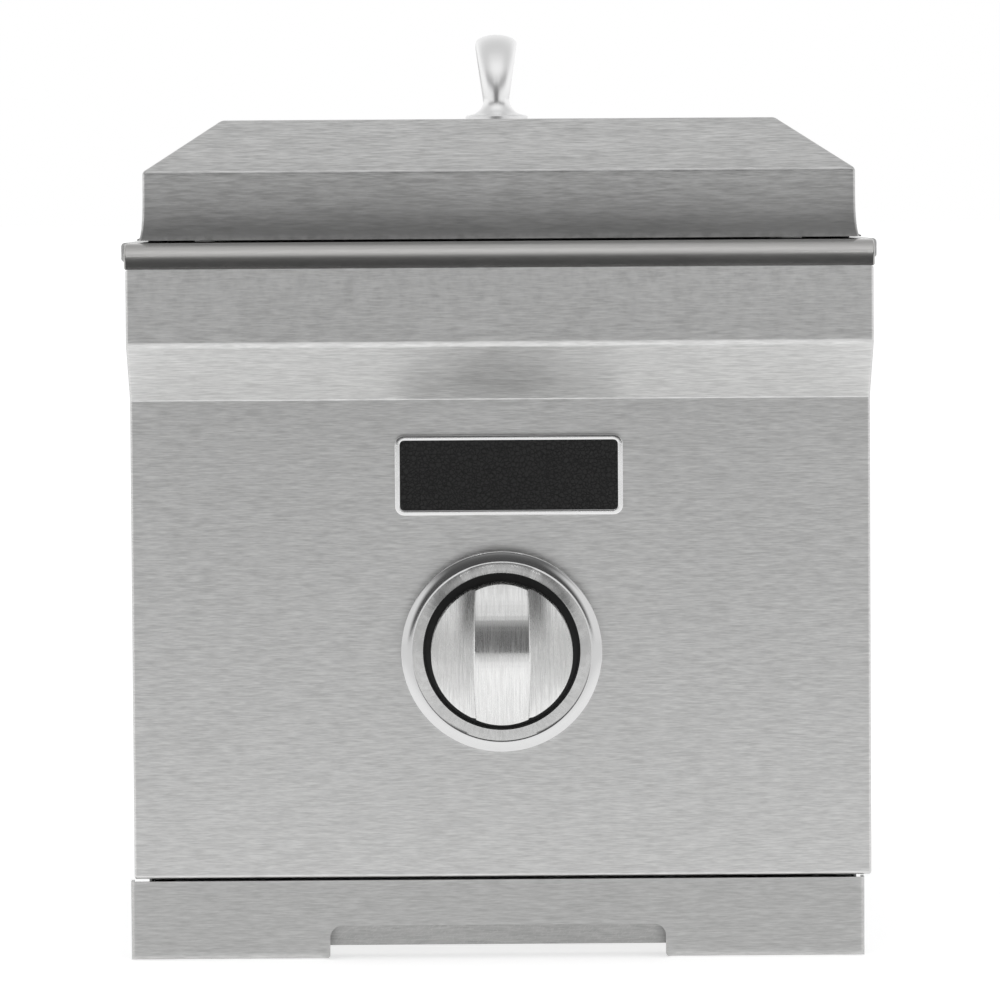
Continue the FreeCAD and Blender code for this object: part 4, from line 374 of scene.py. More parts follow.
@dataclass(frozen=True)
class Finish:
    """A surface finish: its material is built once and shared by the pieces that have it.

    Shades are factors of the colour, shares are strengths from 0 to 1, and scales and densities
    count features a metre, densities along and across the grain. The roughness runs through
    its spread with the pattern, and worn is the colour of edges where it isn't a shade.
    """

    name: str
    slot: str
    colour: Colour
    roughness: float
    spread: Point = (0.85, 1.1)
    mark_scale: float = 60.0
    mark_rough: float = 0.0
    edge_share: float = 0.0
    edge_shade: float = 1.3
    worn: Colour | None = None
    metallic: float = 1.0
    anisotropy: float = 0.0
    grain_turn: float = 0.0
    specular: float = 0.5
    coat: float = 0.0
    coat_rough: float = 0.03
    depth: float = 0.01 * MM
    relief: float = 1.0

    def material(self) -> Material:
        """The finish's material, built at its first use."""
        made = bpy.data.materials.get(self.name)
        if made:
            return made
        made = bpy.data.materials.new(self.name)
        coat = Coat(made, self.mark_scale)
        tree = coat.tree
        colour, rougher, height = self.draw(coat)
        if self.edge_share > 0:
            worn = self.worn or self.shade(self.edge_shade)
            colour = tree.laid(coat.effect(edge_wear)["Mask"], self.edge_share, colour, worn)
        rough = tree.ranged(rougher, 0.0, 1.0, *(self.roughness * part for part in self.spread))
        if self.mark_rough > 0:
            rough = tree.plus(rough, tree.times(coat.marks, self.mark_rough))
        bump = tree.add("ShaderNodeBump", Height=height, Distance=self.depth, Strength=self.relief)
        shader = tree.add(
            "ShaderNodeBsdfPrincipled", Base_Color=colour, Roughness=rough,
            Normal=bump.outputs["Normal"], Metallic=self.metallic,
            Anisotropic=self.anisotropy, Anisotropic_Rotation=self.grain_turn,
            Specular_IOR_Level=self.specular, Coat_Weight=self.coat,
            Coat_Roughness=self.coat_rough)
        if self.anisotropy > 0:
            along = {"direction_type": "UV_MAP", "uv_map": GRAIN_MAP}
            tangent = tree.add("ShaderNodeTangent", along)
            tree.feed(shader.inputs["Tangent"], tangent.outputs["Tangent"])
        tree.add("ShaderNodeOutputMaterial", Surface=shader.outputs["BSDF"])
        return made

    def draw(self, coat: Coat) -> Pattern:
        """Draws the finish's own pattern.

        Args:
            coat: the material being built.

        Returns:
            The colour, where it is rougher, and the height.
        """
        raise NotImplementedError

    def shade(self, factor: float) -> Colour:
        """The finish's colour, lighter or darker."""
        return tuple(min(1.0, part * factor) for part in self.colour)


@dataclass(frozen=True)
class BrushedSteel(Finish):
    """Sheet steel with a belt grain along one axis, and painted shade that darkens it towards its
    foot if it has one.
    """

    spread: Point = (0.95, 1.08)
    mark_scale: float = 9.0
    mark_rough: float = 0.035
    edge_share: float = 0.35
    edge_shade: float = 1.35
    anisotropy: float = 0.35
    grain_turn: float = 0.25
    depth: float = 0.008 * MM
    grain: Axis = Axis.X
    density: Point = (170.0, 1900.0)
    contrast: float = 0.15
    band_share: float = 0.1
    # Shade that the broad bands and the painted shade at the foot darken the colour towards.
    band_and_foot_shade: float = 0.9
    foot: Point = (0.0, 1.0)
    foot_shade_share: float = 0.0

    def draw(self, coat: Coat) -> Pattern:
        """Belt lines in colour, roughness and height, with broad bands and painted shade towards
        the foot in the colour.
        """
        tree = coat.tree
        belt = coat.effect(brushed_grain, Density=self.grain.stretched(*self.density))
        lined = tree.mixed(belt["Lines"], self.shade(1 - self.contrast),
                           self.shade(1 + self.contrast))
        level = tree.add("ShaderNodeSeparateXYZ", Vector=coat.place).outputs["Z"]
        # Painted shade: none above the foot's upper level, darkest at its lower level; it darkens
        # the colour with the broad bands.
        painted_foot_shade = tree.ranged(level, *self.foot, self.foot_shade_share, 0.0)
        bands = tree.math("MAXIMUM", tree.times(belt["Bands"], self.band_share), painted_foot_shade)
        banded = tree.mixed(bands, lined, self.shade(self.band_and_foot_shade))
        return Pattern(banded, belt["Lines"], belt["Height"])


@dataclass(frozen=True)
class ScratchedSteel(BrushedSteel):
    """Thin tray sheet that has slid and been wiped: brushed, with crossing scratches."""

    scratch_share: float = 0.3

    def draw(self, coat: Coat) -> Pattern:
        """Brushed steel with bright scratches laid over its colour."""
        drawn = super().draw(coat)
        scratches = coat.effect(fine_scratches)["Mask"]
        return drawn._replace(colour=coat.tree.laid(
            scratches, self.scratch_share, drawn.colour, self.shade(self.edge_shade)))


@dataclass(frozen=True)
class MillSheet(Finish):
    """Dull rolled sheet of the hidden box, with a faint spangle."""

    spread: Point = (0.9, 1.1)
    mark_scale: float = 14.0
    mark_rough: float = 0.08
    edge_share: float = 0.4
    spangle: float = 55.0
    spangle_shades: Point = (0.93, 1.07)
    mark_share: float = 0.3
    mark_shade: float = 0.82
    density: Point = (30.0, 900.0)

    def draw(self, coat: Coat) -> Pattern:
        """Spangle and handling marks over faint rolling lines."""
        tree = coat.tree
        cells = tree.add("ShaderNodeTexVoronoi", Vector=coat.place, Scale=self.spangle)
        patch = tree.add("ShaderNodeSeparateColor", Color=cells.outputs["Color"]).outputs[0]
        rolled = coat.effect(brushed_grain, Density=Axis.Y.stretched(*self.density))
        spangled = tree.mixed(patch, *map(self.shade, self.spangle_shades))
        marked = tree.laid(coat.marks, self.mark_share, spangled, self.shade(self.mark_shade))
        return Pattern(marked, patch, rolled["Height"])


@dataclass(frozen=True)
class Plated(Finish):
    """Bright or satin plating over a smooth casting."""

    spread: Point = (1.0, 1.0)
    mark_rough: float = 0.03
    depth: float = 0.02 * MM
    satin: float = 0.0
    satin_shade: float = 0.78
    satin_depth: float = 0.4
    density: Point = (2200.0, 120.0)
    swell: float = 38.0

    def draw(self, coat: Coat) -> Pattern:
        """Slight swell of the casting, and lines where it is satin."""
        tree = coat.tree
        lines = coat.effect(brushed_grain, Density=Axis.X.stretched(*self.density))
        lined = tree.laid(lines["Lines"], self.satin, self.colour, self.shade(self.satin_shade))
        fine = tree.times(lines["Height"], self.satin * self.satin_depth)
        swell = tree.noise(coat.place, self.swell, detail=1.0)
        return Pattern(lined, lines["Lines"], tree.plus(swell, fine))


@dataclass(frozen=True)
class CastMetal(Finish):
    """Metal cast in sand, bare or under enamel."""

    mark_scale: float = 26.0
    edge_share: float = 0.4
    coat_rough: float = 0.3
    depth: float = 0.12 * MM
    relief: float = 0.6
    grain: float = 900.0
    speckle_shades: Point = (0.8, 1.2)
    mark_share: float = 0.35
    mark_shade: float = 1.3

    def draw(self, coat: Coat) -> Pattern:
        """The mould's grains in colour, roughness and height, clouded by handling."""
        tree = coat.tree
        skin = coat.effect(cast_skin, Scale=self.grain)
        speckled = tree.mixed(skin["Speckle"], *map(self.shade, self.speckle_shades))
        clouded = tree.laid(coat.marks, self.mark_share, speckled, self.shade(self.mark_shade))
        return Pattern(clouded, skin["Speckle"], skin["Height"])


@dataclass(frozen=True)
class Moulded(CastMetal):
    """Resin, rubber, silicone or glaze: no metal, an even colour and a finer skin."""

    mark_scale: float = 80.0
    edge_share: float = 0.0
    metallic: float = 0.0
    coat_rough: float = 0.1
    depth: float = 0.03 * MM
    relief: float = 0.5
    grain: float = 1500.0
    speckle_shades: Point = (0.9, 0.9)
    mark_share: float = 0.5
    mark_shade: float = 1.25


@dataclass(frozen=True)
class TurnedMetal(Finish):
    """Bar stock turned, drilled or drawn: brass fittings, steel stems, alloy tube."""

    spread: Point = (0.85, 1.15)
    mark_scale: float = 70.0
    mark_rough: float = 0.12
    edge_share: float = 0.4
    edge_shade: float = 1.25
    depth: float = 0.015 * MM
    tarnish: Colour = (0.4, 0.4, 0.4)
    tarnish_share: float = 0.3
    density: Point = (3200.0, 60.0)
    ring_share: float = 0.2
    ring_shade: float = 0.75

    def draw(self, coat: Coat) -> Pattern:
        """Tool rings along the turning axis over patches of tarnish."""
        tree = coat.tree
        rings = coat.effect(brushed_grain, Density=Axis.Y.stretched(*self.density))
        dull = tree.laid(coat.marks, self.tarnish_share, self.colour, self.tarnish)
        lined = tree.laid(rings["Lines"], self.ring_share, dull, self.shade(self.ring_shade))
        return Pattern(lined, rings["Lines"], rings["Height"])


@dataclass(frozen=True)
class LeatherGrain(Finish):
    """Black badge field pressed with a leather grain."""

    spread: Point = (1.3, 1.0)
    metallic: float = 0.0
    specular: float = 0.28
    depth: float = 0.3 * MM
    pebble: float = 620.0
    crease_wide: float = 0.16
    # Colour in the creases and on the pebbles' tops: partly the grain's own tone, partly painted
    # shade and painted light of the relief.
    crease_tone_and_shade: Point = (0.2, 2.2)
    sway: float = 900.0
    sway_reach: float = 1.1 * MM

    def draw(self, coat: Coat) -> Pattern:
        """Pebbles between fine creases, glossier on their tops; darker creases and lighter tops in
        the colour are partly the grain's tone and partly painted shade and light.
        """
        tree = coat.tree
        sway = tree.add("ShaderNodeTexNoise", Vector=coat.place, Scale=self.sway).outputs["Color"]
        warped = tree.math("ADD", coat.place, tree.scaled(sway, (self.sway_reach,) * 3),
                           "ShaderNodeVectorMath")
        cells = tree.add("ShaderNodeTexVoronoi", {"feature": "DISTANCE_TO_EDGE"},
                         Vector=warped, Scale=self.pebble)
        pebble = tree.ranged(cells.outputs["Distance"], 0.0, self.crease_wide)
        # The creases are darker and the tops lighter in colour: part grain tone, part painted shade
        # and light.
        return Pattern(tree.mixed(pebble, *map(self.shade, self.crease_tone_and_shade)), pebble, pebble)


def grey(level: float, warmth: float = 0.0) -> Colour:
    """A grey, a little warmer by the blue it lacks."""
    return (level, level, level - warmth)


FASCIA_STEEL = BrushedSteel("brushed_fascia", "fascia_steel", grey(0.66, 0.005), 0.36)
BEAD_STEEL = BrushedSteel("burnished_bead", "fascia_steel", (0.51, 0.505, 0.495), 0.17,
                          contrast=0.04)
# The lid's steel has painted shade that darkens its walls towards their foot.
LID_STEEL = BrushedSteel("brushed_lid", "lid_steel", grey(0.68, 0.005), 0.36, contrast=0.2,
                         band_and_foot_shade=0.5, foot=(300 * MM, 334 * MM), foot_shade_share=0.85)
TRAY_STEEL = BrushedSteel("brushed_tray", "tray_steel", grey(0.52, 0.005), 0.36)
PAN_STEEL = ScratchedSteel("scratched_pan", "tray_steel", grey(0.45, 0.005), 0.32)
DECK_STEEL = BrushedSteel("brushed_deck", "deck_steel", grey(0.64, 0.005), 0.32, grain=Axis.Y)
BOX_SHEET = MillSheet("rolled_sheet", "box_sheet", (0.47, 0.48, 0.48), 0.42)
CHROME = Plated("bright_chrome", "chrome", grey(0.88), 0.07)
RING_CHROME = Plated("ring_chrome", "chrome", grey(0.66), 0.1)
HANDLE_CHROME = Plated("buffed_handle", "chrome", grey(0.95), 0.32)
KNOB_SATIN = Plated("satin_knob", "knob_finish", grey(0.79, 0.005), 0.2, spread=(1.0, 1.6),
                    satin=0.6, anisotropy=0.6)
BADGE_FIELD = LeatherGrain("leather_badge", "badge_black", grey(0.012), 0.38)
FASTENER = TurnedMetal("zinc_fastener", "fastener_steel", grey(0.6), 0.28, tarnish=(0.4, 0.4, 0.42))
RESIN = Moulded("black_resin", "insert_plastic", grey(0.02), 0.45)
PAD_RUBBER = Moulded("grey_rubber", "pad_rubber", grey(0.035), 0.75)
ENAMELLED_IRON = CastMetal("enamelled_iron", "cast_iron", (0.022, 0.022, 0.023), 0.5,
                           metallic=0.0, coat=0.35, worn=grey(0.12), depth=0.2 * MM)
CAST_ALLOY = CastMetal("alloy_casting", "cast_alloy", grey(0.52), 0.48, worn=grey(0.75))
TUBE_STEEL = TurnedMetal("welded_tube", "tube_steel", grey(0.55), 0.33, tarnish=(0.35, 0.33, 0.3))
BRASS = TurnedMetal("turned_brass", "brass", (0.72, 0.53, 0.25), 0.24, tarnish=(0.42, 0.27, 0.1))
STEM_STEEL = TurnedMetal("turned_stem", "stem_steel", grey(0.6), 0.2)
TUBE_ALLOY = TurnedMetal("drawn_alloy", "tube_alloy", (0.68, 0.68, 0.69), 0.34,
                         tarnish=grey(0.5), tarnish_share=0.4)
CERAMIC = Moulded("glazed_ceramic", "ceramic", (0.82, 0.8, 0.74), 0.2, grain=500.0, coat=0.8)
LEAD_SLEEVE = Moulded("silicone_sleeve", "lead_sleeve", (0.28, 0.03, 0.02), 0.4)


# ---- Shaping ----------------------------------------------------------------------------------


class Pen:
    """Draws an outline of lines and arcs in one plane of a bmesh."""

    def __init__(self, bm: BMesh, normal: Axis, level: float = 0.0) -> None:
        """Sets the plane.

        Args:
            bm: the mesh to draw in.
            normal: axis across the plane; a point gives the other two in order.
            level: place of the plane along that axis.
        """
        self.bm = bm
        self.normal = normal
        self.level = level
        self.verts: list[BMVert] = []

    def at(self, point: Point) -> Vector:
        """The point in space."""
        made = list(point)
        made.insert(self.normal.value, self.level)
        return Vector(made)

    def line(self, *points: Point) -> "Pen":
        """Straight edges to each point in turn."""
        for point in points:
            vert = self.bm.verts.new(self.at(point))
            if self.verts:
                self.bm.edges.new((self.verts[-1], vert))
            self.verts.append(vert)
        return self

    def arc(self, point: Point, radius: float, side: int, steps: int = 8) -> "Pen":
        """An arc to the point, made by spinning the last vertex.

        Args:
            point: where the arc ends.
            radius: its radius.
            side: 1 if it bulges to the left of its direction, -1 if to the right.
            steps: number of edges.

        Returns:
            The pen.
        """
        start, end = self.verts[-1].co.copy(), self.at(point)
        chord = end - start
        axis = self.normal.vector * (-1 if self.normal is Axis.Y else 1)
        across = axis.cross(chord).normalized()
        reach = math.sqrt(max(radius ** 2 - (chord.length / 2) ** 2, 0.0))
        centre = (start + end) / 2 - across * side * reach
        angle = -side * 2 * math.asin(min(1.0, chord.length / 2 / radius))
        spun = bmesh.ops.spin(self.bm, geom=[self.verts[-1]], cent=centre, axis=axis,
                              angle=angle, steps=steps)
        last = verts_of(spun["geom_last"])[0]
        last.co = end
        self.verts.append(last)
        return self

    def close(self) -> list[BMEdge]:
        """Joins the last point to the first and gives the outline's edges."""
        self.bm.edges.new((self.verts[-1], self.verts[0]))
        return self.edges()

    def edges(self) -> list[BMEdge]:
        """Every loose edge in the mesh, which is what this pen drew."""
        return [edge for edge in self.bm.edges if not edge.link_faces]


def verts_of(geometry: Iterable) -> list[BMVert]:
    """The vertices among new geometry."""
    return [part for part in geometry if isinstance(part, BMVert)]


def turn_outward(bm: BMesh) -> None:
    """Turns the faces of a closed shape to the outside."""
    bmesh.ops.recalc_face_normals(bm, faces=bm.faces)


def fill_outline(bm: BMesh, edges: Sequence[BMEdge]) -> BMFace:
    """One face inside a closed outline."""
    return bmesh.ops.contextual_create(bm, geom=list(edges))["faces"][0]


def extrude(bm: BMesh, face: BMFace, move: Vector) -> list[BMVert]:
    """Extrudes a face.

    Args:
        bm: the mesh.
        face: the face; it goes if it closed a solid.
        move: how far the new face goes.

    Returns:
        The new face's vertices.
    """
    inner = all(len(edge.link_faces) > 1 for edge in face.edges)
    made = verts_of(bmesh.ops.extrude_face_region(bm, geom=[face])["geom"])
    if inner and face.is_valid:
        bmesh.ops.delete(bm, geom=[face], context="FACES_ONLY")
    bmesh.ops.translate(bm, verts=made, vec=move)
    return made


def prism(bm: BMesh, outline: Sequence[BMEdge], move: Vector) -> None:
    """A closed solid: an outline filled and extruded."""
    extrude(bm, fill_outline(bm, outline), move)
    turn_outward(bm)


def block(size: Vector, centre: Vector) -> BMesh:
    """A new mesh with one box."""
    bm = bmesh.new()
    bmesh.ops.create_cube(bm, size=1.0)
    bmesh.ops.scale(bm, vec=size, verts=bm.verts)
    bmesh.ops.translate(bm, vec=centre, verts=bm.verts)
    return bm


def cut(bm: BMesh, place: Place, normal: Place, near: float = MERGE) -> None:
    """Splits every face that a plane meets.

    Args:
        bm: the mesh.
        place: a point on the plane.
        normal: the plane's direction.
        near: vertices this near to the plane count as on it.
    """
    bmesh.ops.bisect_plane(bm, geom=bm.verts[:] + bm.edges[:] + bm.faces[:], dist=near,
                           plane_co=place, plane_no=normal)


def bevel_edges(bm: BMesh, edges: Iterable[BMEdge], offset: float, segments: int = 3,
                clamp: bool = True) -> None:
    """Rounds edges.

    Args:
        bm: the mesh.
        edges: the edges to round.
        offset: distance from the edge at which the round starts.
        segments: number of faces across the round.
        clamp: whether the rounds are kept from crossing each other.
    """
    bmesh.ops.bevel(bm, geom=list(edges), offset=offset, offset_type="OFFSET", segments=segments,
                    profile=0.5, affect="EDGES", clamp_overlap=clamp, material=-1)


def spin_closed(bm: BMesh, edges: Iterable[BMEdge], centre: Vector, axis: Axis,
                steps: int) -> None:
    """Turns an outline into a closed ring round an axis."""
    verts = {vert for edge in edges for vert in edge.verts}
    bmesh.ops.spin(bm, geom=list(verts) + list(edges), cent=centre, axis=axis.vector,
                   angle=FULL_TURN, steps=steps, use_merge=True)
    bmesh.ops.remove_doubles(bm, verts=bm.verts, dist=MERGE)
    turn_outward(bm)


def join(bm: BMesh, other: BMesh) -> None:
    """Adds another mesh to this one and frees it."""
    carrier = bpy.data.meshes.new("carrier")
    other.to_mesh(carrier)
    other.free()
    bm.from_mesh(carrier)
    bpy.data.meshes.remove(carrier)


def lay_grain(bm: BMesh) -> None:
    """Gives each face a map whose first direction is level, so that the grain has a direction."""
    layer = bm.loops.layers.uv.new(GRAIN_MAP)
    for face in bm.faces:
        steep = max(range(3), key=lambda part: abs(face.normal[part]))
        first, second = (part for part in range(3) if part != steep)
        for loop in face.loops:
            loop[layer].uv = (loop.vert.co[first], loop.vert.co[second])


def add_object(name: str, data) -> Object:
    """A new object in the scene."""
    made = bpy.data.objects.new(name, data)
    bpy.context.scene.collection.objects.link(made)
    return made


@dataclass
class Piece:
    """One visible piece: where it rides, what it stands for, its finish and its sheet."""

    name: str
    body: str
    nodes: tuple[str, ...]
    finish: Finish
    sheet: float = 0.0
    smooth: float = math.radians(30)

    def finish_mesh(self, bm: BMesh) -> None:
        """Turns the shaped mesh into the finished piece and joins it to its body.

        Args:
            bm: the shape, in place; it is freed. Its open edges stay sharp.
        """
        lay_grain(bm)
        bm.edges.index_update()
        rims = [edge.index for edge in bm.edges if edge.is_boundary]
        mesh = bpy.data.meshes.new(self.name)
        bm.to_mesh(mesh)
        bm.free()
        mesh.shade_smooth()
        mesh.set_sharp_from_angle(angle=self.smooth)
        for index in rims:
            mesh.edges[index].use_edge_sharp = True
        mesh.materials.append(self.finish.material())
        made = add_object(self.name, mesh)
        if self.sheet > 0:
            sheet = made.modifiers.new("sheet", "SOLIDIFY")
            sheet.thickness = self.sheet
            sheet.offset = -1.0
            sheet.use_even_offset = True
        made.modifiers.new("even_normals", "WEIGHTED_NORMAL").keep_sharp = True
        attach(made, self.body)
        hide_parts(*self.nodes)
        LOG.info("%s: %d faces, rides %s", self.name, len(mesh.polygons), self.body)


@dataclass(frozen=True)
class Soften:
    """How sharp edges are softened: the round, the faces across it and the least angle."""

    offset: float = 0.25 * MM
    segments: int = 2
    least: float = math.radians(32)

    def apply(self, bm: BMesh) -> None:
        """Rounds the edges whose two faces meet at more than the least angle."""
        sharp = [edge for edge in bm.edges
                 if len(edge.link_faces) == 2 and edge.calc_face_angle(0.0) > self.least]
        if self.offset > 0:
            bevel_edges(bm, sharp, self.offset, self.segments)


def softened_nodes(piece: Piece, soften: Soften) -> BMesh:
    """The CAD nodes a piece stands for, merged, with flats joined and sharp edges rounded.

    Args:
        piece: the piece to make.
        soften: the edge rounding.

    Returns:
        The new mesh.
    """
    bm = bmesh.new()
    for node in piece.nodes:
        bm.from_mesh(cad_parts[node].data)
    bmesh.ops.remove_doubles(bm, verts=bm.verts, dist=CAD_MERGE)
    bmesh.ops.dissolve_limit(bm, angle_limit=CAD_FLAT, verts=bm.verts, edges=bm.edges)
    soften.apply(bm)
    return bm


# ---- Front: fascia, badge, knob ring and knob -------------------------------------------------


@dataclass
class Fascia:
    """Folded front panel with its badge, the ring round the knob and the knob."""

    sheet: float = 1.2 * MM
    fold: float = 1.6 * MM
    fold_steps: int = 5
    crease: float = 0.4 * MM
    return_run: float = 12.0 * MM
    nose_lean: float = 0.3 * MM
    nose_height: float = 31.3 * MM
    facet_height: float = 23.0 * MM
    bead_height: float = 10.7 * MM
    bead_round: float = 16.0 * MM
    bead_lean: float = math.radians(17.5)
    bead_steps: tuple[int, int] = (6, 14)
    bead_wide: float = 0.5 * MM
    badge_thick: float = 2.4 * MM
    badge_rim: float = 2.1 * MM
    badge_sink: float = 0.6 * MM
    badge_corner: float = 3.9 * MM
    badge_steps: int = 6
    rim_soften: Soften = Soften(0.4 * MM, 3, math.radians(60))
    field_soften: Soften = Soften(0.12 * MM, 2, math.radians(60))
    ring_floor_hole: float = 8.5 * MM
    ring_floor: float = 1.2 * MM
    ring_mouth: float = 32.2 * MM
    ring_crest: float = 37.0 * MM
    ring_swell: float = 12.0 * MM
    ring_drop: float = 0.85 * MM
    ring_dip: float = 2.2 * MM
    ring_edge: float = 0.6 * MM
    swell_steps: int = 10
    edge_steps: int = 5
    ring_steps: int = 128
    ring_smooth: float = math.radians(40)
    liner_gap: float = 0.3 * MM
    knob_soften: Soften = Soften(0.9 * MM, 3)
    knob_slice: float = 1.5 * MM
    knob_near: float = MERGE / 4
    knob_shoulder: float = -245.0 * MM
    knob_crown: float = 36.0 * MM
    crown_reach: float = 35.28 * MM
    bar_crown: float = 75.0 * MM
    bar_side: float = 12.272 * MM
    bar_taper: float = 0.16
    bar_facet: float = 0.06 * MM

    def panel(self) -> None:
        """Main face, facet and nose, folded back at the sides."""
        low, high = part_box("front_panel")
        face = high.y - self.return_run
        crease_z = high.z - self.bead_height
        nose_z = crease_z - self.nose_height
        folds = [(face, low.z), (face, nose_z - self.facet_height), (low.y, nose_z)]
        bm = bmesh.new()
        pen = Pen(bm, Axis.X, low.x).line(
            (high.y, low.z), *folds, (low.y + self.nose_lean, crease_z), (high.y, crease_z))
        prism(bm, pen.close(), Vector((high.x - low.x, 0, 0)))
        bevel_edges(bm, self.along_width(bm, folds[1:2]), self.crease)
        bevel_edges(bm, self.along_width(bm, folds[::2]), self.fold, self.fold_steps)
        self.fold_sides(bm)
        Piece("fascia", "box", ("front_panel",), FASCIA_STEEL, self.sheet).finish_mesh(bm)

    def bead(self) -> None:
        """Rolled top edge, burnished by the roll, over the nose: two arcs that meet tangent."""
        low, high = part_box("front_panel")
        crease_z = high.z - self.bead_height
        lean_sin, lean_cos = math.sin(self.bead_lean), math.cos(self.bead_lean)
        meet_y = low.y + (1 - lean_cos) * self.bead_round
        meet_rise = lean_sin * self.bead_round
        tight = (self.bead_height - meet_rise) / (1 - lean_sin)
        first, second = self.bead_steps
        bm = bmesh.new()
        pen = Pen(bm, Axis.X, low.x - self.bead_wide).line((high.y, crease_z), (low.y, crease_z))
        pen.arc((meet_y, crease_z + meet_rise), self.bead_round, 1, first)
        pen.arc((meet_y + tight * lean_cos, high.z), tight, 1, second)
        outline = pen.line((high.y, high.z)).close()
        prism(bm, outline, Vector((high.x - low.x + 2 * self.bead_wide, 0, 0)))
        self.fold_sides(bm)
        Piece("fascia_bead", "box", ("front_panel",), BEAD_STEEL, self.sheet).finish_mesh(bm)

    def fold_sides(self, bm: BMesh) -> None:
        """Rounds the fold at both ends of a strip and opens its back."""
        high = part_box("front_panel")[1]
        ends = {edge for face in bm.faces if abs(face.normal.x) > FACING for edge in face.edges}
        front = [edge for edge in ends if min(v.co.y for v in edge.verts) < high.y - self.fold
                 and max(v.co.z for v in edge.verts) < high.z + MM]
        bevel_edges(bm, front, self.fold, self.fold_steps)
        back = [face for face in bm.faces if face.normal.y > FACING
                and face.calc_center_median().y > high.y - MERGE]
        bmesh.ops.delete(bm, geom=back, context="FACES")

    def along_width(self, bm: BMesh, places: Sequence[Point]) -> list[BMEdge]:
        """Edges that run across the panel through the given places of its outline."""
        found = []
        for edge in bm.edges:
            first, second = (vert.co for vert in edge.verts)
            if abs(first.x - second.x) > self.fold and any(
                    abs(first.y - y) < MERGE and abs(first.z - z) < MERGE for y, z in places):
                found.append(edge)
        return found

    def badge(self) -> None:
        """Bright rim with rounded corners, and the grained black field sunk in it."""
        low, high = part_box("badge_plate")
        middle = (low + high) / 2
        size = Vector((high.x - low.x, self.badge_thick, high.z - low.z))
        bm = self.rounded_slab(size, (middle.x, low.y + size.y / 2, middle.z), self.badge_corner)
        front = next(face for face in bm.faces if face.normal.y < -FACING)
        bmesh.ops.inset_region(bm, faces=[front], thickness=self.badge_rim)
        extrude(bm, front, Vector((0, self.badge_sink, 0)))
        self.rim_soften.apply(bm)
        Piece("badge_rim", "box", ("badge_plate",), CHROME).finish_mesh(bm)
        size = Vector((size.x - 2 * self.badge_rim, self.badge_sink, size.z - 2 * self.badge_rim))
        bm = self.rounded_slab(size, (middle.x, low.y + self.badge_sink, middle.z),
                               self.badge_corner - self.badge_rim)
        self.field_soften.apply(bm)
        Piece("badge_field", "box", ("badge_plate",), BADGE_FIELD).finish_mesh(bm)

    def rounded_slab(self, size: Vector, centre: Place, corner: float) -> BMesh:
        """A slab that faces the front, with its four corners rounded.

        Args:
            size: its three sizes.
            centre: its centre.
            corner: radius of the corners.

        Returns:
            The new mesh.
        """
        bm = block(size, centre)
        deep = [e for e in bm.edges if abs(e.verts[0].co.y - e.verts[1].co.y) > MERGE]
        bevel_edges(bm, deep, corner, self.badge_steps)
        return bm

    def ring(self) -> None:
        """Flared ring with a rolled mouth, turned in one piece with its sunk floor."""
        low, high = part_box("knob_bezel")
        level = (low.z + high.z) / 2
        floor = high.y - self.ring_floor
        shoulder = low.y + self.ring_drop
        lip = low.y + self.ring_dip
        bm = bmesh.new()
        pen = Pen(bm, Axis.Z, level).line(
            (self.ring_floor_hole, high.y), (self.ring_floor_hole, floor),
            (self.ring_mouth, floor), (self.ring_mouth, lip + self.ring_edge))
        for point, radius, steps in (
                ((self.ring_mouth + self.ring_edge, lip), self.ring_edge, self.edge_steps),
                ((self.ring_crest, low.y), self.ring_swell, self.swell_steps),
                ((high.x - self.ring_edge, shoulder), self.ring_swell, self.swell_steps),
                ((high.x, shoulder + self.ring_edge), self.ring_edge, self.edge_steps)):
            pen.arc(point, radius, -1, steps)
        edges = pen.line((high.x, high.y)).close()
        spin_closed(bm, edges, Vector((0, 0, level)), Axis.Y, self.ring_steps)
        Piece("knob_ring", "box", ("knob_bezel",), RING_CHROME,
              smooth=self.ring_smooth).finish_mesh(bm)
        self.liner(level, floor, lip + 2 * self.ring_edge)

    def liner(self, level: float, floor: float, mouth: float) -> None:
        """Black liner of the ring's mouth and floor.

        Args:
            level: height of the knob's axis.
            floor: place of the ring's floor.
            mouth: where the liner starts, just inside the lip.
        """
        bm = bmesh.new()
        outer = self.ring_mouth
        inner = outer - self.liner_gap
        thick = floor - self.liner_gap
        edges = Pen(bm, Axis.Z, level).line(
            (self.ring_floor_hole, floor), (self.ring_floor_hole, thick), (inner, thick),
            (inner, mouth), (outer, mouth), (outer, floor)).close()
        spin_closed(bm, edges, Vector((0, 0, level)), Axis.Y, self.ring_steps)
        Piece("knob_ring_liner", "box", ("knob_bezel",), RESIN).finish_mesh(bm)

    def knob(self) -> None:
        """Crowned and tapered grip bar between two dished wings."""
        piece = Piece("knob", "knob", ("control_knob",), KNOB_SATIN)
        low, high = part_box("control_knob")
        level = (low.z + high.z) / 2
        bm = softened_nodes(piece, self.knob_soften)
        reach = int((high.z - low.z) / 2 / self.knob_slice)
        for step in range(-reach, reach + 1):
            cut(bm, (0, 0, level + step * self.knob_slice), (0, 0, 1), self.knob_near)
        for vert in bm.verts:
            away = min(abs(vert.co.z - level), self.crown_reach)
            sag = self.knob_crown - math.sqrt(self.knob_crown ** 2 - away ** 2)
            flat = self.bar_crown - math.sqrt(self.bar_crown ** 2 - away ** 2)
            if abs(vert.co.y - low.y - flat) < self.bar_facet:
                vert.co.y = low.y + flat
            share = (self.knob_shoulder - vert.co.y) / (self.knob_shoulder - low.y)
            vert.co.y += max(0.0, share) * (sag - flat)
            if abs(vert.co.x) < self.bar_side:
                vert.co.x *= 1 - self.bar_taper * (away / self.knob_crown) ** 2
        piece.finish_mesh(bm)

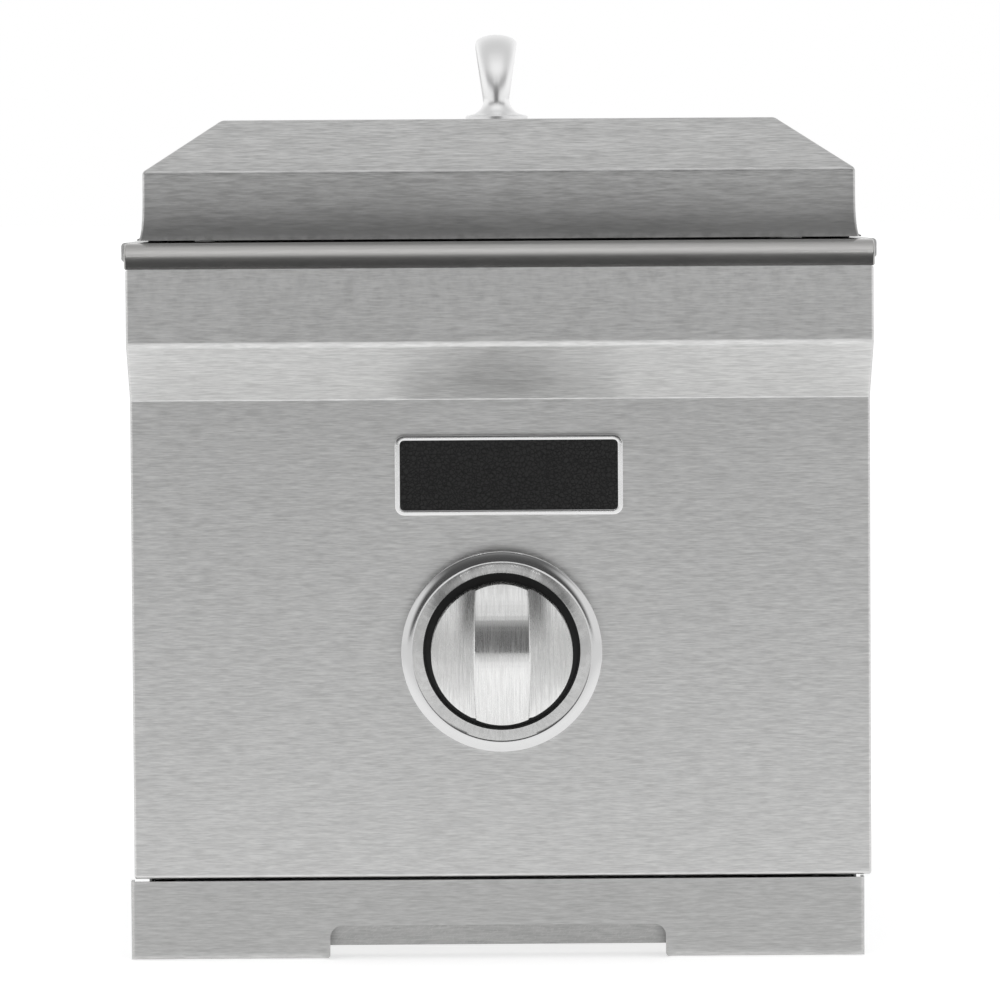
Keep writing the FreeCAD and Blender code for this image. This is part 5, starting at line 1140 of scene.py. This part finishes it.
    def build(self) -> None:
        """Builds the whole front."""
        self.panel()
        self.bead()
        self.badge()
        self.ring()
        self.knob()


# ---- Lid --------------------------------------------------------------------------------------


class Station(NamedTuple):
    """Where one section of the handle's bow lies, and how wide and leaning it is."""

    along: float
    height: float
    share: float
    lean: float


@dataclass
class Lid:
    """Hipped lid with its hem and feet, and the bow handle on two flared feet."""

    sheet: float = 0.8 * MM
    wall: float = 28.0 * MM
    slope_run: float = 31.4 * MM
    corner: float = 1.0 * MM
    corner_steps: int = 5
    draw_in: float = 0.9 * MM
    flare_out: float = 1.5 * MM
    flare_power: int = 5
    flare_steps: int = 10
    hem: float = 9.0 * MM
    foot: float = 1.6 * MM
    foot_thick: float = 0.5 * MM
    foot_radius: float = 1.9 * MM
    foot_steps: int = 4
    span: float = 132.0 * MM
    height: float = 39.47 * MM
    foot_round: float = 13.6 * MM
    foot_rim: float = 3.0 * MM
    rim_step: float = 0.8 * MM
    rim_slope: float = 0.4 * MM
    foot_rise: float = 10.5 * MM
    flare: float = 7.4 * MM
    flare_arc: int = 12
    neck: float = 11.0 * MM
    grip_width: float = 18.3 * MM
    grip_thick: float = 8.0 * MM
    shoulder: float = 30.0 * MM
    bow_steps: int = 18
    round_steps: int = 40
    pad_soften: Soften = Soften(0.2 * MM)

    def __post_init__(self) -> None:
        """Reads half of the walls' width and length, their centre and foot in the solid's box."""
        low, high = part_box("lid_shell")
        self.half = Vector((high.x - self.foot - self.draw_in,
                            (high.y - low.y) / 2 - self.draw_in))
        self.centre = Vector((0, (low.y + high.y) / 2, low.z + self.wall / 2))
        self.low = low.z

    def shell(self) -> None:
        """Walls, hips and crown bent from one sheet, hemmed inwards, with out-turned feet."""
        low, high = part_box("lid_shell")
        bm = block((2 * self.half.x, 2 * self.half.y, self.wall), self.centre)
        top = next(face for face in bm.faces if face.normal.z > FACING)
        crown = extrude(bm, top, Vector((0, 0, high.z - low.z - self.wall)))
        self.draw_together(bm, crown, self.slope_run)
        folds = [e for e in bm.edges if max(v.co.z for v in e.verts) > low.z + MM]
        bevel_edges(bm, folds, self.corner, self.corner_steps)
        self.flare_walls(bm)
        bottom = [face for face in bm.faces if face.normal.z < -FACING]
        bmesh.ops.delete(bm, geom=bottom, context="FACES_ONLY")
        rim = [edge for edge in bm.edges if edge.is_boundary]
        hem = verts_of(bmesh.ops.extrude_edge_only(bm, edges=rim)["geom"])
        self.draw_together(bm, hem, self.hem)
        turn_outward(bm)
        crown_face = next(f for f in bm.faces if f.calc_center_median().z > high.z - MERGE)
        if crown_face.normal.z < 0:
            bmesh.ops.reverse_faces(bm, faces=bm.faces)
        bmesh.ops.solidify(bm, geom=bm.faces[:], thickness=self.sheet)
        self.feet(bm)
        Piece("lid_shell_folded", "lid", ("lid_shell",), LID_STEEL).finish_mesh(bm)

    def draw_together(self, bm: BMesh, verts: Sequence[BMVert], run: float) -> None:
        """Moves a level ring of vertices inwards by a run on each side."""
        shrink = Vector(((self.half.x - run) / self.half.x, (self.half.y - run) / self.half.y, 1))
        bmesh.ops.scale(bm, vec=shrink, verts=verts, space=Matrix.Translation(-self.centre))

    def flare_walls(self, bm: BMesh) -> None:
        """Lets the walls curve out a little towards their foot."""
        for step in range(1, self.flare_steps + 1):
            cut(bm, (0, 0, self.low + self.wall * step / (self.flare_steps + 1)), (0, 0, 1))
        for vert in bm.verts:
            left = max(0.0, 1 - (vert.co.z - self.low) / self.wall)
            out = self.flare_out * left ** self.flare_power
            vert.co.x *= 1 + out / self.half.x
            vert.co.y += (vert.co.y - self.centre.y) * out / self.half.y

    def feet(self, bm: BMesh) -> None:
        """Small turned-out flanges along the foot of both side walls."""
        length = 2 * (self.half.y - 2 * self.corner)
        rise = self.low + self.foot_thick
        for side in (-1, 1):
            strip = bmesh.new()
            edge = side * (self.half.x + self.draw_in)
            inner, outer = edge - side * self.sheet / 2, edge + side * self.foot
            pen = Pen(strip, Axis.Y, self.centre.y - length / 2)
            pen.line((inner, self.low), (outer, self.low), (outer, rise))
            pen.arc((edge, rise + self.foot), self.foot_radius, side, self.foot_steps)
            pen.line((inner, rise + self.foot))
            prism(strip, pen.close(), Vector((0, length, 0)))
            join(bm, strip)

    def handle(self) -> None:
        """Lofted bow and two spun feet, plated as one casting."""
        low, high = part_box("lid_handle")
        middle = (low.y + high.y) / 2
        bm = bmesh.new()
        rings = [self.oval(bm, station, low.z, middle) for station in self.stations()]
        for first, second in zip(rings, rings[1:]):
            bmesh.ops.bridge_loops(bm, edges=first + second)
        bmesh.ops.holes_fill(bm, edges=rings[0] + rings[-1])
        turn_outward(bm)
        for side in (-1, 1):
            join(bm, self.foot_casting(middle + side * self.span / 2, low.z))
        Piece("handle", "lid", ("lid_handle",), HANDLE_CHROME).finish_mesh(bm)

    def stations(self) -> list[Station]:
        """Places of the bow's sections, from one neck to the other."""
        rise = self.height - self.grip_thick / 2 - self.foot_rise
        half = []
        for step in range(self.bow_steps + 1):
            swept = QUARTER_TURN * step / self.bow_steps
            sine, cosine = math.sin(swept), math.cos(swept)
            half.append(Station(
                self.span / 2 - self.shoulder * (1 - cosine), self.foot_rise + rise * sine, sine,
                math.atan2(rise * cosine, self.shoulder * sine)))
        reach, top = half[-1][:2]
        flat = [Station(reach * part, top, 1.0, 0.0) for part in (0.5, 0.0, -0.5)]
        far = [s._replace(along=-s.along, lean=-s.lean) for s in reversed(half)]
        return half + flat + far

    def oval(self, bm: BMesh, station: Station, base: float, middle: float) -> list[BMEdge]:
        """One oval section of the bow.

        Args:
            bm: the handle's mesh.
            station: where the section lies, with a share of 0 at the neck and 1 at the grip.
            base: level of the lid's crown.
            middle: centre of the bow's length.

        Returns:
            The section's edges.
        """
        wide = self.neck + station.share * (self.grip_width - self.neck)
        thick = self.neck + station.share * (self.grip_thick - self.neck)
        made = bmesh.ops.create_circle(bm, segments=self.round_steps, radius=0.5)["verts"]
        bmesh.ops.scale(bm, vec=(wide, thick, 1), verts=made)
        turn = Matrix.Rotation(QUARTER_TURN - station.lean, 4, "X")
        place = Matrix.Translation((0, middle + station.along, base + station.height))
        bmesh.ops.transform(bm, matrix=place @ turn, verts=made)
        return list({edge for vert in made for edge in vert.link_edges})

    def foot_casting(self, along: float, base: float) -> BMesh:
        """A round foot: rim, concave flare and neck.

        Args:
            along: its place along the lid.
            base: level of the lid's crown.

        Returns:
            The foot's mesh.
        """
        bm = bmesh.new()
        soft = self.rim_slope / 2
        inner, rim = self.foot_round - soft, base + self.foot_rim
        pen = Pen(bm, Axis.Y, along).line(
            (0, base), (inner, base), (self.foot_round, base + soft),
            (self.foot_round, rim - soft), (inner, rim),
            (self.foot_round - self.rim_step, rim + self.rim_slope))
        pen.arc((self.neck / 2, base + self.foot_rise), self.flare, 1, self.flare_arc)
        pen.line((0, base + self.foot_rise))
        spin_closed(bm, pen.edges(), Vector((0, along, base)), Axis.Z, 2 * self.round_steps)
        return bm

    def build(self) -> None:
        """Builds the lid and its hardware."""
        self.shell()
        self.handle()
        for node in ("lid_handle_screws", "lid_handle_washers"):
            build_softened(Piece(f"{node}_plated", "lid", (node,), FASTENER))
        build_softened(Piece("lid_pads", "lid", ("lid_bumpers",), PAD_RUBBER), self.pad_soften)


# ---- Drip tray --------------------------------------------------------------------------------


@dataclass
class DripTray:
    """Folded front strip with its finger notch, and the pan behind it."""

    sheet: float = 1.2 * MM
    fold: float = 1.6 * MM
    fold_steps: int = 4
    notch_width: float = 139.0 * MM
    notch_height: float = 13.7 * MM
    notch_corner: float = 5.0 * MM
    mouth_corner: float = 1.5 * MM
    mouth_steps: int = 4
    pan_floor: float = 3.0 * MM
    pan_drop: float = 3.2 * MM
    soften: Soften = Soften(0.2 * MM)

    def front(self) -> None:
        """Strip folded back at its sides and foot, cut away for the fingers."""
        low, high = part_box("tray_front")
        middle = (low.x + high.x) / 2
        left, right = middle - self.notch_width / 2, middle + self.notch_width / 2
        roof = low.z + self.notch_height
        under, mouth = roof - self.notch_corner, low.z + self.mouth_corner
        bm = bmesh.new()
        pen = Pen(bm, Axis.Y, low.y)
        pen.line((low.x, high.z), (low.x, low.z), (left - self.mouth_corner, low.z))
        pen.arc((left, mouth), self.mouth_corner, -1, self.mouth_steps).line((left, under))
        pen.arc((left + self.notch_corner, roof), self.notch_corner, 1)
        pen.line((right - self.notch_corner, roof))
        pen.arc((right, under), self.notch_corner, 1).line((right, mouth))
        pen.arc((right + self.mouth_corner, low.z), self.mouth_corner, -1, self.mouth_steps)
        face = fill_outline(bm, pen.line((high.x, low.z), (high.x, high.z)).close())
        turn_outward(bm)
        if face.normal.y > 0:
            bmesh.ops.reverse_faces(bm, faces=[face])
        self.split_face(bm, middle, roof)
        folded = [edge for edge in bm.edges if self.is_folded(edge)]
        made = verts_of(bmesh.ops.extrude_edge_only(bm, edges=folded)["geom"])
        bmesh.ops.translate(bm, vec=Vector((0, high.y - low.y, 0)), verts=made)
        bevel_edges(bm, [edge for edge in folded if edge.is_valid], self.fold, self.fold_steps,
                    clamp=False)
        turn_outward(bm)
        if max(bm.faces, key=lambda f: f.calc_area()).normal.y > 0:
            bmesh.ops.reverse_faces(bm, faces=bm.faces)
        Piece("tray_strip", "drip_tray", ("tray_front",), TRAY_STEEL, self.sheet).finish_mesh(bm)

    def split_face(self, bm: BMesh, middle: float, roof: float) -> None:
        """Cuts the flat face into plain fields, so that the notch and the folds shade apart.

        Args:
            bm: the strip's mesh.
            middle: centre of the notch.
            roof: level of the notch's upper edge.
        """
        low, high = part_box("tray_front")
        margin = 2 * self.fold
        beside = self.notch_width / 2 + self.mouth_corner + margin
        for place in (low.x + margin, high.x - margin, middle - beside, middle + beside):
            cut(bm, (place, 0, 0), (1, 0, 0))
        for level in (low.z + margin, roof + margin, high.z - self.fold):
            cut(bm, (0, 0, level), (0, 0, 1))

    def is_folded(self, edge: BMEdge) -> bool:
        """Whether an edge of the strip's outline is a side or its foot, which fold back."""
        low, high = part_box("tray_front")
        ends = [vert.co for vert in edge.verts]
        at_side = any(all(abs(end.x - x) < MERGE for end in ends) for x in (low.x, high.x))
        return at_side or all(abs(end.z - low.z) < MERGE for end in ends)

    def pan(self) -> None:
        """Pan, drawn a little deeper than its solid so that it shows in the notch."""
        piece = Piece("tray_pan_drawn", "drip_tray", ("tray_pan",), PAN_STEEL)
        low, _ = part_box("tray_pan")
        bm = softened_nodes(piece, self.soften)
        for vert in bm.verts:
            if vert.co.z < low.z + self.pan_floor:
                vert.co.z -= self.pan_drop
        piece.finish_mesh(bm)

    def build(self) -> None:
        """Builds the tray."""
        self.front()
        self.pan()
        build_softened(Piece("tray_nuts_plated", "drip_tray", ("tray_nuts",), FASTENER),
                       self.soften)


# ---- Everything that keeps its CAD shape ------------------------------------------------------


def build_softened(piece: Piece, soften: Soften = Soften()) -> None:
    """Shows a piece's nodes as a copy with softened edges."""
    piece.finish_mesh(softened_nodes(piece, soften))


@dataclass(frozen=True)
class Kept:
    """Nodes of one finish that are shown as softened copies."""

    finish: Finish
    body: str
    nodes: tuple[str, ...]
    soften: Soften = Soften()


KEPT = (
    Kept(DECK_STEEL, "box", ("deck_frame", "burner_bowl")),
    Kept(BOX_SHEET, "box", (
        "left_side_wall", "right_side_wall", "rear_panel", "left_tray_runner",
        "right_tray_runner", "heat_shield", "orifice_bracket", "electrode_bracket")),
    Kept(FASTENER, "box", (
        "badge_push_nuts", "rear_panel_screws", "burner_screws", "valve_screws",
        "spark_electrode", "electrode_bracket_screw")),
    Kept(ENAMELLED_IRON, "grate", ("cooking_grate",), Soften(0.8 * MM, 3)),
    Kept(ENAMELLED_IRON, "cap", ("burner_cap",), Soften(0.6 * MM, 3)),
    Kept(BRASS, "box", ("burner_head",)),
    Kept(CAST_ALLOY, "box", ("burner_base", "valve_bonnet"), Soften(0.4 * MM, 3)),
    Kept(TUBE_STEEL, "box", ("mixing_tube",)),
    Kept(TUBE_STEEL, "shutter", ("air_shutter",)),
    Kept(FASTENER, "shutter", ("air_shutter_screw",)),
    Kept(BRASS, "box", (
        "valve_body", "feed_flare_nut", "supply_flare_nut", "gas_inlet_fitting",
        "gas_inlet_locknut", "orifice_holder", "orifice_spud")),
    Kept(BRASS, "plug", ("valve_plug",)),
    Kept(STEM_STEEL, "knob", ("valve_stem",)),
    Kept(FASTENER, "knob", ("stem_spring",), Soften(0.0)),
    Kept(RESIN, "knob", ("knob_insert",)),
    Kept(TUBE_ALLOY, "box", ("feed_tube", "supply_tube"), Soften(0.1 * MM)),
    Kept(RESIN, "box", ("spark_igniter",)),
    Kept(CERAMIC, "box", ("electrode_insulator",)),
    Kept(LEAD_SLEEVE, "box", ("ignition_lead",), Soften(0.1 * MM)),
)


def build_kept() -> None:
    """Shows each listed node as a softened copy in its finish."""
    for group in KEPT:
        for node in group.nodes:
            build_softened(Piece(f"{node}_made", group.body, (node,), group.finish), group.soften)


# ---- Studio -----------------------------------------------------------------------------------


def aim(made: Object, place: Place, target: Place, roll: float = 0.0) -> None:
    """Places a lamp or a camera and turns it to a point.

    Args:
        made: the lamp or the camera.
        place: where it stands.
        target: the point it looks at.
        roll: turn round its own line of sight.
    """
    made.location = place
    made.rotation_mode = "QUATERNION"
    toward = Vector(target) - Vector(place)
    made.rotation_quaternion = (toward.to_track_quat("-Z", "Y")
                                @ Quaternion((0, 0, 1), roll))


@dataclass(frozen=True)
class SoftBox:
    """A square soft light, aimed at a point."""

    name: str
    place: Place
    target: Place
    side: float
    brightness: float

    def build(self) -> None:
        """Makes the lamp."""
        light = bpy.data.lights.new(self.name, "AREA")
        light.size = self.side
        light.energy = self.brightness * math.pi * self.side ** 2
        aim(add_object(self.name, light), self.place, self.target)


@dataclass
class Studio:
    """White floor and surround, soft lights and the camera at the photograph's angle."""

    floor_front: float = -6.0
    floor_back: float = 60.0
    floor_half: float = 40.0
    floor_colour: float = 0.8
    floor_lift: float = 0.62
    floor_shine: float = 0.42
    # Painted glow that only reflections see on the floor in front of the object: its strength,
    # centre and reach.
    floor_glow: float = 0.26
    glow_place: float = -0.34
    glow_reach: Point = (0.14, 0.7)
    beside: float = 0.97
    ambient: float = 0.6
    above: float = 0.62
    above_reach: Point = (0.35, 0.8)
    ahead_reach: Point = (-0.3, -0.05)
    ahead: tuple[Point, ...] = ((0.0, 0.09), (0.3, 0.1), (0.52, 0.16), (0.66, 0.45), (0.8, 0.85))
    dark_half: Point = (0.26, 0.42)
    side_top: Point = (0.3, 0.5)
    lean_left: float = 0.04
    camera_place: Place = (-0.0105, -2.6305, 0.3156)
    camera_target: Place = (-0.0003, -0.2305, 0.1902)
    camera_lens: float = 209.8
    camera_roll: float = math.radians(-0.364)
    boxes: tuple[SoftBox, ...] = (
        SoftBox("overhead", (0.0, -0.7, 3.0), (0.0, -0.1, 0.2), 2.2, 0.14),
        SoftBox("front_left", (-0.5, -2.2, 2.2), (0.0, -0.2, 0.2), 0.16, 7.0),
        SoftBox("front_right", (0.5, -2.2, 2.2), (0.0, -0.2, 0.2), 0.16, 7.0),
    )

    def floor(self) -> None:
        """Pale floor that keeps the object's shadow and runs out into white."""
        bm = bmesh.new()
        bmesh.ops.create_grid(bm, x_segments=1, y_segments=1, size=0.5)
        depth = self.floor_back - self.floor_front
        middle = (self.floor_back + self.floor_front) / 2
        bmesh.ops.scale(bm, vec=(2 * self.floor_half, depth, 1), verts=bm.verts)
        bmesh.ops.translate(bm, vec=(0, middle, 0), verts=bm.verts)
        mesh = bpy.data.meshes.new("floor")
        bm.to_mesh(mesh)
        bm.free()
        material = bpy.data.materials.new("floor")
        tree = fresh_tree(material)
        matt = tree.add("ShaderNodeBsdfDiffuse", Color=(*grey(self.floor_colour), 1.0))
        white = tree.add("ShaderNodeEmission", Color=(*grey(1.0), 1.0), Strength=self.lift(tree))
        both = tree.add("ShaderNodeAddShader")
        tree.feed(both.inputs[0], matt.outputs[0])
        tree.feed(both.inputs[1], white.outputs[0])
        tree.add("ShaderNodeOutputMaterial", Surface=both.outputs[0])
        mesh.materials.append(material)
        add_object("floor", mesh)

    def lift(self, tree: Tree) -> NodeSocket:
        """How much the floor is lifted to white for the rays that show it, and for no other;
        reflections also see a painted glow in a band in front of the object.

        Args:
            tree: the material's tree.

        Returns:
            The strength's socket.
        """
        path = tree.add("ShaderNodeLightPath").outputs
        mirrored = tree.math("MAXIMUM", path["Is Glossy Ray"], path["Is Transmission Ray"])
        direct = tree.times(path["Is Camera Ray"], self.floor_lift)
        # Painted glow: reflections see the floor brightest near the glow's place, fading to the
        # plain shine beyond its reach.
        place = tree.add("ShaderNodeTexCoord").outputs["Object"]
        along = tree.add("ShaderNodeSeparateXYZ", Vector=place).outputs["Y"]
        away = tree.math("ABSOLUTE", tree.math("SUBTRACT", along, self.glow_place))
        brightest = self.floor_shine + self.floor_glow
        glow = tree.ranged(away, *self.glow_reach, brightest, self.floor_shine)
        return tree.plus(direct, tree.times(mirrored, glow))

    def world(self) -> None:
        """White surround, with the unlit room in front that polished metal shows."""
        world = bpy.data.worlds.new("studio")
        bpy.context.scene.world = world
        tree = fresh_tree(world)
        toward = tree.add("ShaderNodeTexCoord").outputs["Generated"]
        part = tree.add("ShaderNodeSeparateXYZ", Vector=toward).outputs
        high = tree.ranged(part["Z"], *self.above_reach, self.beside, self.above)
        ahead = tree.ranged(part["Y"], *self.ahead_reach, 1.0, 0.0)
        aside = tree.math("ABSOLUTE", tree.plus(part["X"], self.lean_left))
        beside = tree.times(tree.ranged(aside, *self.dark_half),
                            tree.ranged(part["Z"], *self.side_top, 1.0, 0.0))
        room_front = tree.mixed(beside, tree.ramp(part["Z"], self.ahead), grey(self.beside))
        front = tree.mixed(ahead, high, room_front)
        path = tree.add("ShaderNodeLightPath").outputs
        shown = tree.math("MAXIMUM", path["Is Glossy Ray"], path["Is Transmission Ray"])
        room = tree.mixed(shown, grey(self.ambient), front)
        level = tree.mixed(path["Is Camera Ray"], room, grey(1.0))
        back = tree.add("ShaderNodeBackground", Color=level)
        tree.add("ShaderNodeOutputWorld", Surface=back.outputs["Background"])

    def camera(self) -> None:
        """Camera on the object's axis, a little above it, looking down to the knob."""
        data = bpy.data.cameras.new("camera")
        data.lens = self.camera_lens
        made = add_object("camera", data)
        aim(made, self.camera_place, self.camera_target, self.camera_roll)
        bpy.context.scene.camera = made

    def build(self) -> None:
        """Sets up the floor, the surround, the lights and the camera."""
        self.floor()
        self.world()
        for box in self.boxes:
            box.build()
        self.camera()
        bpy.context.scene.view_settings.view_transform = "Standard"


def main() -> None:
    """Builds every sub-assembly in order and sets up the studio."""
    logging.basicConfig(level=logging.INFO, format="%(message)s")
    Fascia().build()
    Lid().build()
    DripTray().build()
    build_kept()
    Studio().build()


if __name__ == "__main__":
    main()
